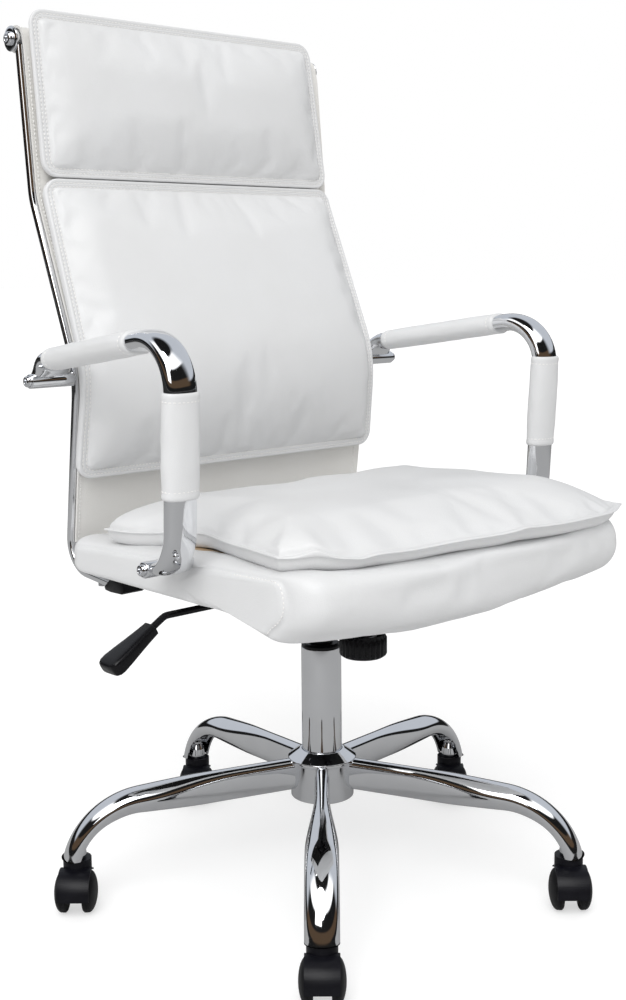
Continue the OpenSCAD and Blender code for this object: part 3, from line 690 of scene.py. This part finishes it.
EDGE_STEPS = [0, 0.8, 2, 3.4, 4.6, 5.6, 6.6, 8, 9.4, 10.4, 11.4, 12.8, 15, 18, 22, 27]
FLANGE, PAD_CORNER, STUFFING = 12.4, 21, 21
STITCH_ROWS = (5.6, 10.4)


def across_panel(size, cell, fine=EDGE_STEPS):
    """Places across a panel, centred, close together along both edges."""
    inner = size / 2 - fine[-1]
    count = max(2, round(2 * inner / cell))
    left = [-size / 2 + d for d in fine]
    return left + [-inner + 2 * inner * i / count for i in range(1, count)] + [-x for x in left[::-1]]


def in_rounded_corner(x, y, a, b, r):
    """A rectangle's point moved into one with rounded corners, and its distance from the edge."""
    over_x, over_y = abs(x) - (a - r), abs(y) - (b - r)
    if over_x > 0 and over_y > 0:
        reach = max(over_x, over_y)
        shrink = reach / math.hypot(over_x, over_y)
        x, y = math.copysign(a - r + over_x * shrink, x), math.copysign(b - r + over_y * shrink, y)
        return x, y, r - reach
    return x, y, min(a - abs(x), b - abs(y))


def pillow(xs, ys, place, front, back):
    """Closed pad of two panels that meet at their edge, as (verts, faces, facts).

    place(x, y) gives (flat x, flat y, edge distance); front and back turn those into a point in space.
    facts holds (edge distance, is front) for each vertex.
    """
    verts, facts, index = [], [], {}
    for layer, shape in enumerate((front, back)):
        for i, x in enumerate(xs):
            for j, y in enumerate(ys):
                on_edge = i in (0, len(xs) - 1) or j in (0, len(ys) - 1)
                if layer and on_edge:
                    index[1, i, j] = index[0, i, j]
                    continue
                index[layer, i, j] = len(verts)
                flat_x, flat_y, edge = place(x, y)
                verts.append(shape(flat_x, flat_y, max(edge, 0)))
                facts.append((edge, layer == 0))
    faces = []
    for i in range(len(xs) - 1):
        for j in range(len(ys) - 1):
            quad = [(i, j), (i + 1, j), (i + 1, j + 1), (i, j + 1)]
            faces.append([index[0, a, b] for a, b in quad])
            faces.append([index[1, a, b] for a, b in quad[::-1]])
    return verts, faces, facts


def inflate(piece, loose, pressure, extra, cap):
    """Lets a pad's loose points swell as cloth with a little extra length, each by at most cap metres."""
    mesh = piece.data
    piece.modifiers["subdivision"].show_viewport = False
    start = [v.co.copy() for v in mesh.vertices]
    pinned = piece.vertex_groups.new(name="pinned")
    pinned.add([i for i in range(len(start)) if i not in loose], 1.0, "REPLACE")
    cloth = piece.modifiers.new("cloth", "CLOTH")
    settings = cloth.settings
    settings.quality = 6
    settings.mass = 0.25
    settings.tension_stiffness = settings.compression_stiffness = 12
    settings.shear_stiffness = 6
    settings.bending_stiffness = 0.35
    settings.air_damping = 2
    settings.use_pressure = True
    settings.uniform_pressure_force = pressure
    settings.shrink_min = -extra
    settings.vertex_group_mass = "pinned"
    settings.effector_weights.gravity = 0
    scene = bpy.context.scene
    for number in range(1, 21):
        scene.frame_set(number)
    evaluated = piece.evaluated_get(bpy.context.evaluated_depsgraph_get())
    swollen = [v.co.copy() for v in evaluated.data.vertices]
    piece.modifiers.remove(cloth)
    piece.vertex_groups.remove(pinned)
    piece.modifiers["subdivision"].show_viewport = True
    scene.frame_set(1)
    for vertex, a, b in zip(mesh.vertices, start, swollen):
        move = b - a
        vertex.co = a + move * min(1.0, cap / max(move.length, 1e-9))


def shoulder(distance, width, power=2.3):
    """Height, from 0 to 1, of a stuffed edge that rises from its seam over the given width."""
    t = clamp(distance / width)
    return (1 - (1 - t) ** power) ** (1 / power)


def stitch_groove(edge):
    """Depth of the grooves that the two stitch rows press into a pad's border."""
    return sum(0.9 * bell(edge - row, 0.9) for row in STITCH_ROWS)


def pucker(x, y, edge, seed):
    """Small gathers that run in from the inner stitch row and die out."""
    fade = bell(edge - FLANGE, 16) * smooth((edge - FLANGE) / 3)
    return 0.7 * fade * noise.noise(Vector((x / 9, y / 9, seed)))


def make_back_pad(name, node, z1, z2, width_low, width_high, out_low, out_high, drift, seed):
    """A soft pad on the sling, with a border and two rows of stitching, out_low to out_high mm out."""
    height = z2 - z1
    half_w, half_h = width_low / 2, height / 2

    def place(x, y):
        return in_rounded_corner(x, y, half_w, half_h, PAD_CORNER)

    def spot(x, y, out):
        narrowed = x * mix(1, width_high / width_low, (y + half_h) / height) - drift * (y + half_h) / height
        return on_back(narrowed, (z1 + z2) / 2 + y, SLING_FAR + 0.4 + out)

    def stand(y):
        return mix(out_low, out_high, (y + half_h) / height)

    def front(x, y, edge):
        border = stand(y) + 3 * shoulder(edge, 2) - stitch_groove(edge)
        inside = max(edge - FLANGE, 0)
        swell = (1 - min(abs(x / (half_w - FLANGE)), 1) ** 3) * (1 - min(abs(y / (half_h - FLANGE)), 1) ** 3)
        stuffed = 0.45 * shoulder(inside, 30) + 0.55 * swell
        crown = 1 - 0.10 * (x / half_w) ** 2 - 0.08 * (y / half_h) ** 2
        soft = 1.2 * noise.noise(Vector((x / 120, y / 110, seed))) * stuffed
        return spot(x, y, border + STUFFING * stuffed * crown + soft + pucker(x, y, edge, seed))

    def back(x, y, edge):
        return spot(x, y, stand(y) * (1 - shoulder(edge, 14)))

    verts, faces, facts = pillow(across_panel(width_low, 8), across_panel(height, 8), place, front, back)
    pad = make(name, verts, faces, "seat", white, "padded_leatherette", [node], sharp=180, subdivide=1)
    loose = {i for i, (edge, is_front) in enumerate(facts) if is_front and edge > FLANGE}
    inflate(pad, loose, 2.0, 0.012, 7 * MM)
    rows = []
    for row in STITCH_ROWS:
        outline = rounded_loop(half_w - row, half_h - row, PAD_CORNER - row)
        line = [spot(x, y, stand(y) + 2.8) for x, y in outline]
        rows.append(stitches(line, [spot(x, y, 5) - spot(x, y, 4) for x, y in outline]))
    make(f"{name}_stitches", *joined(rows), "seat", thread, "padded_leatherette")
    return pad


def rounded_loop(a, b, r, step=4):
    """Closed loop of flat points round a rectangle with rounded corners."""
    loop = []
    for sx, sy, turn in ((1, 1, 0), (-1, 1, 90), (-1, -1, 180), (1, -1, 270)):
        for i in range(9):
            t = math.radians(turn + 90 * i / 8)
            loop.append(Vector((sx * (a - r) + r * math.cos(t), sy * (b - r) + r * math.sin(t), 0)))
    return [(p.x, p.y) for p in evenly(loop + [loop[0]], step)]


# ---------- Seat ----------

SEAT_HALF = 250
SEAT_SIDE = [(-229, 376, 30), (-287, 404, 34), (-281, 463, 26), (174, 446, 15), (177, 402, 15),
             (-120, 402, 110)]


def seat_outline():
    """The seat's side outline as an even closed loop of (y, z)."""
    corners = [Vector((y, z, 0)) for y, z, _ in SEAT_SIDE]
    count = len(corners)
    loop = []
    for i in range(count):
        loop += corner_arc(corners[i - 1], corners[i], corners[(i + 1) % count], SEAT_SIDE[i][2], 8)
    return evenly(loop + [loop[0]], 8)[:-1]


def seat_layers(outline, steps=12):
    """The outline shrunk towards its own middle in small even steps."""
    layers = [outline]
    for _ in range(steps + 4):
        loop = layers[-1]
        moved = []
        for i, p in enumerate(loop):
            along = (loop[(i + 1) % len(loop)] - loop[i - 1]).normalized()
            reach = (4 + 4 * max(0, along.x) + 28 * max(0, along.y) + 12 * max(0, -along.y)) / steps
            moved.append(p + Vector((along.y, -along.x, 0)) * reach)
        after = moved[1:] + moved[:1]
        layers.append([p * 0.9 + (moved[i - 1] + after[i]) * 0.05 for i, p in enumerate(moved)])
    return layers


def seat_point(x, layers, i, share):
    """Point i of the side outline on the bowed seat, x mm across, moved in by a share of the rounded edge."""
    at = share * 12
    low = min(int(at), len(layers) - 2)
    here = layers[low][i].lerp(layers[low + 1][i], at - low)
    y, z = here.x, here.y
    out = min((x / SEAT_HALF) ** 2, 1)
    ahead = smooth((-y - 110) / 150)
    y += (26 - 12 * smooth(x / 200)) * out * ahead
    z += 8 * out * ahead * smooth((455 - z) / 50)
    z -= 7 * (1 - out) * ahead * smooth((440 - z) / 50)
    z += 2.0 * noise.noise(Vector((x / 70, y / 70, z / 70))) * smooth((z - 400) / 20)
    beyond = max(share - 1, 0)
    swell = 22 * beyond * (1 - 0.5 * beyond)
    fold = 1.6 * bell(y + 66, 9) - 3.2 * bell(y + 84, 7)
    dent = 13 * bell(y + 48, 22) * bell(z - 444, 18)
    return point(x + math.copysign(swell + (fold - dent) * smooth((share - 0.3) / 0.6), x), y, z)


def make_seat():
    """Upholstered seat: a bowed front roll, rounded sides, and panels that swell between their seams."""
    layers = seat_layers(seat_outline())
    places = [(0, 1.32), (0, 1.16), (0, 1.06), (0, 1.0)]
    places += [(d, 1 - shoulder(d, 27, 2.2)) for d in (0.5, 1.4, 3, 5.5, 9, 13, 18, 23)]
    inner = SEAT_HALF - 30
    rows = [(-SEAT_HALF + d, share) for d, share in places]
    rows += [(-inner + 2 * inner * i / 54, 0) for i in range(55)]
    rows += [(SEAT_HALF - d, share) for d, share in places[::-1]]
    rings = [[seat_point(x, layers, i, share) for i in range(len(layers[0]))] for x, share in rows]
    seat = make("seat_upholstery", *skin(rings), "seat", white, "padded_leatherette", ["seat_pad"],
                sharp=180, subdivide=1)
    loose = {v.index for v in seat.data.vertices
             if abs(v.co.x) < inner * MM and (v.co.z > 0.412 or v.co.y < -0.2)}
    inflate(seat, loose, 1.6, 0.004, 4 * MM)
    rows = []
    for side in SIDES:
        for x, share in ((SEAT_HALF - 1.0, 0.9), (SEAT_HALF, 1.13)):
            line = [seat_point(side * x, layers, i, share) for i, p in enumerate(layers[0]) if p.x < -150]
            rows.append(stitches(line, [X_AXIS * side + Vector((0, -0.4, 0))] * len(line)))
    make("seat_stitches", *joined(rows), "seat", thread, "padded_leatherette")


def make_dust_cover():
    """Thin black cloth stretched under the seat."""
    loop = rounded_loop(204, 160, 12, 6)
    layers = ((0.99, 402.6), (1, 401.8), (0.99, 401))
    rings = [[point(x * size, y * size + 5, z) for x, y in loop] for size, z in layers]
    make("seat_dust_cover", *skin(rings), "seat", dust_cloth, "black_trim", sharp=60)


CUSHION_FRONT = [(-252, -212), (-207, -252), (-120, -266), (-20, -277), (60, -284), (150, -286), (215, -278),
                 (272, -250)]
CUSHION_BACK = [(-254, 92), (-150, 108), (0, 112), (150, 108), (254, 92)]
CUSHION_LEFT = [(-252, -212), (-240, -150), (-222, -80), (-212, -32), (-228, 15), (-250, 60), (-254, 92)]
CUSHION_RIGHT = [(272, -250), (244, -160), (232, -70), (236, 20), (254, 92)]
CUSHION_Z, CUSHION_TILT = 468, math.tan(math.radians(2.3))
CUSHION_KINKS = [(-224, 5), (-178, -2), (52, 1.2)]


def make_cushion():
    """Loose knife-edge cushion with a sewn lip, crowned above and below, and pinched along its front."""
    sides = (CUSHION_FRONT, CUSHION_BACK, CUSHION_LEFT, CUSHION_RIGHT)
    front_line, back_line, left_line, right_line = [[Vector((x, y, 0)) for x, y in side] for side in sides]
    width, depth = 510, 350

    def flat(u, v):
        straight = ((front_line[0] * (1 - u) + front_line[-1] * u) * (1 - v)
                    + (back_line[0] * (1 - u) + back_line[-1] * u) * v)
        return (spline(front_line, u) * (1 - v) + spline(back_line, u) * v
                + spline(left_line, v) * (1 - u) + spline(right_line, v) * u - straight)

    def place(x, y):
        u, v = x / width + 0.5, y / depth + 0.5
        p = flat(u, v)
        side, end = width / 2 - abs(x), depth / 2 - abs(y)
        return p.x, p.y, min(side, end)

    def rim_z(x, y):
        wave = sum(rise * bell(x - at, 16) for at, rise in CUSHION_KINKS)
        near_front = smooth((-190 - y) / 60)
        droop = 6 * smooth((-y - 190) / 80) + 2 * smooth((x - 110) / 150) * smooth((-y - 90) / 130)
        sag = 2.5 * noise.noise(Vector((x / 80, y / 80, 4)))
        return CUSHION_Z - y * CUSHION_TILT + wave * near_front + sag - droop

    def creases(x, y, edge):
        """Folds that run back from the kinks in the front rim."""
        fold = sum(rise * bell(x - at - 0.25 * edge, 9 + 0.12 * edge) for at, rise in CUSHION_KINKS)
        return fold * smooth((-120 - y) / 90) * math.exp(-edge / 60) * 0.9

    def top(x, y, edge):
        lip = 1.4 * shoulder(edge, 2.5) - 0.8 * bell(edge - 7, 1.2)
        tip = bell(x - 268, 60) * bell(y + 250, 50)
        crown = 29 * shoulder(max(edge - 7, 0), 125, 2.0) * (1 - 0.8 * tip)
        return point(x, y, rim_z(x, y) + lip + crown + creases(x, y, edge))

    def bottom(x, y, edge):
        hang = 16.5 * shoulder(max(edge - 5, 0), 18, 2.0)
        return point(x, y, rim_z(x, y) - 1.2 * shoulder(edge, 2.5) - hang)

    steps = [0, 1, 2.5, 4.5, 6, 7, 8, 9.5, 12, 16, 21, 27]
    xs, ys = across_panel(width, 8, steps), across_panel(depth, 8, steps)
    verts, faces, facts = pillow(xs, ys, place, top, bottom)
    cushion = make("cushion_cover", verts, faces, "seat", white, "padded_leatherette", ["seat_cushion"],
                   sharp=180, subdivide=1)
    loose = {i for i, (edge, is_top) in enumerate(facts) if edge > 7.5 and is_top}
    inflate(cushion, loose, 1.2, 0.012, 7 * MM)
    return cushion


# ---------- Arms ----------

ARM_CORNERS = [point(267, 173, 638), point(271, 164, 657), point(291, -115, 696), point(290, -103, 455),
               point(285, -52, 446)]
ARM_RADII = [16 * MM, 52 * MM, 45 * MM]
ARM_WIDTH, ARM_DEPTH = 38, 22
REAR_BOSS, FOOT_BOSS, BOSS_OUTER_X = point(0, 172, 633), point(0, -45, 444), 296
BOARD_HALF = 228
SLEEVES = ((-1, 1, 2, 0.055, 0.715), (-1, 2, 3, 0.245, 0.70), (1, 1, 2, 0.055, 0.74), (1, 2, 3, 0.21, 0.685))


def arm_path(side):
    return [mirrored(p, side) for p in evenly(rounded_path(ARM_CORNERS, ARM_RADII, 24), 3 * MM)]


def make_arm(side, node):
    path = arm_path(side)

    def section(i):
        p = path[i]
        rear, foot = (p - path[0]).length / MM, (p - path[-1]).length / MM
        inner, reach, away = (RAIL_SPAN / 2, 30, rear) if rear < foot else (BOARD_HALF, 56, foot)
        flare = max(0, 1 - away / reach) ** 2
        middle = (inner + BOSS_OUTER_X) / 2
        shift = (middle - abs(p.x) / MM) * flare * side
        half = mix(ARM_WIDTH / 2, (BOSS_OUTER_X - inner) / 2 - 1, flare)
        depth = mix(ARM_DEPTH / 2, 6.5, flare)
        return [((a + shift) * MM, b * MM) for a, b in superellipse(half, depth, mix(2.3, 3, flare), 56)]

    parts = [swept(path, section, X_AXIS)]
    for boss, inner, radius in ((REAR_BOSS, RAIL_SPAN / 2, 8.5), (FOOT_BOSS, BOARD_HALF, 9)):
        profile = [(0, inner), (radius, inner), (radius, BOSS_OUTER_X), (0, BOSS_OUTER_X)]
        parts.append(lathed(profile, 1.5, Vector((0, boss.y, boss.z)), X_AXIS * side, 56))
    make(f"{node}_loop", *joined(parts), "seat", chrome, "chrome", [node])


def make_sleeve(side, start, end, share_a, share_b, name):
    """Padded sleeve on a straight stretch of the arm, with a hem and a row of stitches at both ends."""
    a, b = mirrored(ARM_CORNERS[start], side), mirrored(ARM_CORNERS[end], side)
    path = evenly([a.lerp(b, share_a), a.lerp(b, share_b)], 2 * MM)
    length = (path[-1] - path[0]).length / MM
    along = (b - a).normalized()

    def section(i):
        at = (path[i] - path[0]).length / MM
        end_gap = min(at, length - at)
        hem = 0.2 * bell(end_gap - 4, 3) - 0.5 * bell(end_gap - 9, 1.0)
        puff = 0.5 * smooth((end_gap - 10) / 25)
        edge = -1.0 * (1 - shoulder(end_gap, 1.4))
        outline = []
        for j, (x, y) in enumerate(superellipse(ARM_WIDTH / 2 + 2.2, ARM_DEPTH / 2 + 2.2, 2.3, 56)):
            wrinkle = 0.45 * noise.noise(Vector((at / 22, j / 5, side * 3 + start)))
            grow = 1 + (hem + puff + edge + wrinkle) / 16
            outline.append((x * grow * MM, y * grow * MM))
        return outline

    make(name, *swept(path, section, X_AXIS), "seat", white, "leatherette", sharp=70)
    lateral = (X_AXIS - along * X_AXIS.dot(along)).normalized()
    up = lateral.cross(along)
    rows = []
    for distance in (9, length - 9):
        centre = path[0] + along * (distance * MM)
        loop = superellipse(ARM_WIDTH / 2 + 1.8, ARM_DEPTH / 2 + 1.8, 2.3, 64)
        loop.append(loop[0])
        ring = [centre + lateral * (x * MM) + up * (y * MM) for x, y in loop]
        rows.append(stitches(ring, [p - centre for p in ring]))
    make(f"{name}_stitches", *joined(rows), "seat", thread, "leatherette")


def make_arms():
    for side, node in ((1, "left_arm"), (-1, "right_arm")):
        make_arm(side, node)
    for side, start, end, share_a, share_b in SLEEVES:
        arm = "left_arm" if side == 1 else "right_arm"
        part = "rest" if start == 1 else "post"
        make_sleeve(side, start, end, share_a, share_b, f"{arm}_{part}_sleeve")
    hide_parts("arm_sleeves")
    make("arm_bolt_heads", *bolt_heads([REAR_BOSS, FOOT_BOSS], BOSS_OUTER_X, 6.6), "seat", bolt_chrome,
         "bolt_chrome", ["arm_bolts"])
    outline = [(0, -1), (3.6, -1), (3.6, 1.2), (2.8, 2.2), (1.5, 2.4), (1.3, 1), (0, 1)]
    screws = [lathed(outline, 0, point(side * 302, -113, 470), (0, -1, 0), 28) for side in SIDES]
    make("arm_screw_heads", *joined(screws), "seat", bolt_chrome, "bolt_chrome")


# ---------- Mechanism ----------

LEVER_Z, LEVER_BEND_X, LEVER_INNER_X, LEVER_DROOP = 376, -237, 16, math.radians(31)
LEVER_RADIUS = 4


def on_droop(d):
    """A point on the lever's drooping end, d mm from its corner."""
    return point(LEVER_BEND_X - d * math.cos(LEVER_DROOP), 0, LEVER_Z - d * math.sin(LEVER_DROOP))


def make_lever():
    corners = [point(LEVER_INNER_X, 0, LEVER_Z), point(LEVER_BEND_X, 0, LEVER_Z), on_droop(40)]
    path = rounded_path(corners, [15 * MM], 14)
    section = superellipse(LEVER_RADIUS * MM, LEVER_RADIUS * MM, 2, 24)
    make("lever_bar", *swept(evenly(path, 3 * MM), lambda i: section, Y_AXIS), "lever", lever_black,
         "black_steel", ["lever_rod"])
    shape = [(20.5, 7.5, 5.5), (21.5, 9, 7), (35, 10.5, 7.4), (50, 12.5, 8), (66, 15, 8.8), (80, 16.6, 9.4),
             (86, 16.4, 9), (90, 14.5, 7.5), (91.5, 12, 5.5)]
    path = [on_droop(d) for d, _, _ in shape]
    verts, faces = swept(path, lambda i: superellipse(shape[i][1] * MM, shape[i][2] * MM, 5, 48), Y_AXIS)
    make("lever_grip", verts, faces, "lever", lever_black, "black_plastic", ["lever_paddle"], sharp=35)


KNOB_CENTRE, KNOB_BOTTOM, KNOB_TOP, KNOB_RADIUS = point(0, -75, 0), 298, 326, 29


def make_knob():
    """Ribbed cup that tensions the recline spring."""
    ribs = 24

    def ring(radius, z, rib):
        points = []
        for j in range(ribs * 8):
            t = 2 * math.pi * j / (ribs * 8)
            r = radius + rib * (0.5 + 0.5 * math.cos(ribs * t)) ** 0.5
            points.append(KNOB_CENTRE + Vector((r * math.cos(t), r * math.sin(t), z)) * MM)
        return points

    body = KNOB_RADIUS - 2
    profile = [(5.2, KNOB_BOTTOM + 0.5, 0), (20, KNOB_BOTTOM, 0), (body - 2.5, KNOB_BOTTOM + 0.4, 0),
               (body - 0.6, KNOB_BOTTOM + 2, 0.6), (body, KNOB_BOTTOM + 4, 1.8), (body, KNOB_TOP - 4, 1.8),
               (body - 0.2, KNOB_TOP - 2.5, 0.8), (body - 0.4, KNOB_TOP - 1.6, 0), (body - 1.2, KNOB_TOP, 0),
               (body - 4, KNOB_TOP, 0), (body - 5, KNOB_TOP - 1.5, 0), (body - 5, KNOB_BOTTOM + 9, 0),
               (5.2, KNOB_BOTTOM + 9, 0)]
    verts, faces = skin([ring(*row) for row in profile])
    make("tension_knob_cup", verts, faces, "tension_knob", lever_black, "black_plastic", ["tension_knob"],
         sharp=45)


def make_spring():
    """The recline spring, a coil of wire that fills the CAD spring's box."""
    low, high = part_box("tension_spring")
    centre = (low + high) / 2
    wire, turns = 2 * MM, 6
    coil = (high.x - low.x) / 2 - wire
    bottom, top = low.z + wire, high.z - wire
    steps = turns * 40
    path = []
    for i in range(steps + 1):
        t = 2 * math.pi * turns * i / steps
        rise = mix(bottom, top, i / steps)
        path.append(Vector((centre.x + coil * math.cos(t), centre.y + coil * math.sin(t), rise)))
    section = superellipse(wire, wire, 2, 12)
    spring = make("recline_spring", *swept(path, lambda i: section, Z_AXIS), "seat_mechanism", spring_steel,
                  "spring_steel", ["tension_spring"])
    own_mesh(spring)


# ---------- Camera, light and floor ----------

CAMERA_AZIMUTH, CAMERA_ELEVATION, CAMERA_ROLL = (math.radians(a) for a in (-42.10, 9.41, -0.56))
CAMERA_DISTANCE, CAMERA_SIDE, CAMERA_AIM_Z = 1692.44, -8.33, 479.59
FOCAL_SHARE = 1.38388


def make_camera():
    a, e, roll = CAMERA_AZIMUTH, CAMERA_ELEVATION, CAMERA_ROLL
    back = Vector((math.sin(a) * math.cos(e), -math.cos(a) * math.cos(e), math.sin(e)))
    right = Vector((math.cos(a), math.sin(a), 0))
    up = back.cross(right)
    rolled_right = right * math.cos(roll) + up * math.sin(roll)
    rolled_up = up * math.cos(roll) - right * math.sin(roll)
    data = bpy.data.cameras.new("camera")
    data.sensor_width = 36
    data.lens = 36 * FOCAL_SHARE
    camera = bpy.data.objects.new("camera", data)
    bpy.context.scene.collection.objects.link(camera)
    spot = (Z_AXIS * CAMERA_AIM_Z + right * CAMERA_SIDE + back * CAMERA_DISTANCE) * MM
    turned = Matrix((rolled_right, rolled_up, back)).transposed().to_4x4()
    camera.matrix_world = Matrix.Translation(spot) @ turned
    bpy.context.scene.camera = camera


def make_floor():
    """Seamless white floor that glows a little, so that shadows stay faint; chrome mirrors it as grey
    paper that ends a few metres away."""
    paint = Paint("floor_paint", (0.5, 0.5, 0.5), Roughness=0.7, Specular_IOR_Level=0.1)
    place, cloudy = paint.cloudy(2.5, 2)
    paint.tint(cloudy, (0.49,) * 3, (0.51,) * 3)
    away = paint.add("ShaderNodeVectorMath", Vector=place)
    away.operation = "LENGTH"
    fall = paint.add("ShaderNodeMapRange", From_Min=3.0, From_Max=5.0, To_Min=0.39, To_Max=0.03,
                     Value=away.outputs["Value"])
    grey = paint.add("ShaderNodeBsdfDiffuse", Color=fall.outputs["Result"])
    rays = paint.add("ShaderNodeLightPath").outputs
    paint.set(Emission_Color=(1, 1, 1, 1), Emission_Strength=paint.ranged(rays["Is Camera Ray"], 0.27, 0.56))
    seen = paint.mixed(rays["Is Glossy Ray"], paint.shader.outputs["BSDF"], grey.outputs["BSDF"])
    paint.put(seen, paint.nodes["Material Output"], "Surface")
    data = bpy.data.meshes.new("floor")
    data.from_pydata([(-60, -60, 0), (60, -60, 0), (60, 60, 0), (-60, 60, 0)], [], [[0, 1, 2, 3]])
    data.materials.append(paint.material)
    floor = bpy.data.objects.new("floor", data)
    bpy.context.scene.collection.objects.link(floor)


def placed_light(name, kind, power, rotation, spot=(0, 0, 0)):
    """A new light; returns its data."""
    data = bpy.data.lights.new(name, kind)
    data.energy = power
    light = bpy.data.objects.new(name, data)
    light.location = spot
    light.rotation_euler = rotation.to_euler()
    bpy.context.scene.collection.objects.link(light)
    return data


def make_lights():
    """Broad even light from above the lever's side, and a small soft box that adds a highlight."""
    sun = placed_light("sun", "SUN", 1.45, Vector((-0.9, -0.75, 1.5)).to_track_quat("Z", "Y"))
    sun.angle = math.radians(40)
    spot = Vector((-1.9, -1.2, 1.7))
    box = placed_light("key", "AREA", 9, (Vector((0, 0, 0.6)) - spot).to_track_quat("-Z", "Y"), spot)
    box.shape = "RECTANGLE"
    box.size = box.size_y = 1.2


def make_world():
    """White studio for plain light; chrome mirrors a pale backdrop and a dark room with soft boxes."""
    world = bpy.data.worlds.new("studio")
    bpy.context.scene.world = world
    sky = Shading(world)
    sky.nodes.clear()

    def glow(strength, color=(1, 1, 1, 1)):
        return sky.add("ShaderNodeBackground", Color=color, Strength=strength).outputs["Background"]

    place = sky.add("ShaderNodeTexCoord").outputs["Generated"]
    split = sky.add("ShaderNodeSeparateXYZ", Vector=place)
    height = sky.add("ShaderNodeMapRange", From_Min=-1, Value=split.outputs["Z"]).outputs["Result"]
    grey, black, lamp = (0.40,) * 3, (0.012,) * 3, (1.6,) * 3
    cool, brown = (0.60, 0.63, 0.68), (0.10, 0.065, 0.04)
    room = sky.ramp(height, [
        (0.0, grey), (0.49, grey), (0.50, black), (0.545, black), (0.56, brown), (0.65, brown), (0.67, black),
        (0.81, black), (0.83, lamp), (0.945, lamp), (0.96, black), (1.0, black)])
    backdrop = sky.ramp(height, [
        (0.0, cool), (0.49, cool), (0.50, black), (0.595, black), (0.62, cool), (0.93, cool), (0.965, black)])
    aim = sky.add("ShaderNodeVectorMath", Vector=place)
    aim.operation = "DOT_PRODUCT"
    aim.inputs[1].default_value = (math.sin(CAMERA_AZIMUTH), -math.cos(CAMERA_AZIMUTH), 0)
    facing = sky.add("ShaderNodeMapRange", From_Min=-0.18, From_Max=0.12, Value=aim.outputs["Value"])
    facing.interpolation_type = "SMOOTHSTEP"
    mirrored_room = sky.add("ShaderNodeMixRGB", Fac=facing.outputs["Result"], Color1=backdrop, Color2=room)
    rays = sky.add("ShaderNodeLightPath").outputs
    seen = sky.mixed(rays["Is Diffuse Ray"], glow(1.0), glow(0.72))
    seen = sky.mixed(rays["Is Glossy Ray"], seen, glow(1.0, mirrored_room.outputs["Color"]))
    sky.add("ShaderNodeOutputWorld", Surface=seen)


bpy.context.scene.view_settings.view_transform = "Standard"
make_camera()
make_world()
make_floor()
make_lights()

dress_cad_nodes()
soften_hoods()
for leg in LEGS:
    make_leg(leg)
    make_wheel(leg, 1, "a")
    make_wheel(leg, -1, "b")
make_hub()
make_column()
make_sockets()
make_rails()
make_top_bar()
make_end_caps()
make_sling()
make_back_pad("head_pad_cover", "head_pad", SEAM_Z + 0.3, 1066, 458, 446, 11, 3.5, 3, 1.5)
make_back_pad("back_pad_cover", "back_pad", 516, SEAM_Z - 0.3, 486, 460, 13, 12, 0, 7.5)
make_seat()
make_dust_cover()
make_cushion()
make_arms()
make_lever()
make_knob()
make_spring()
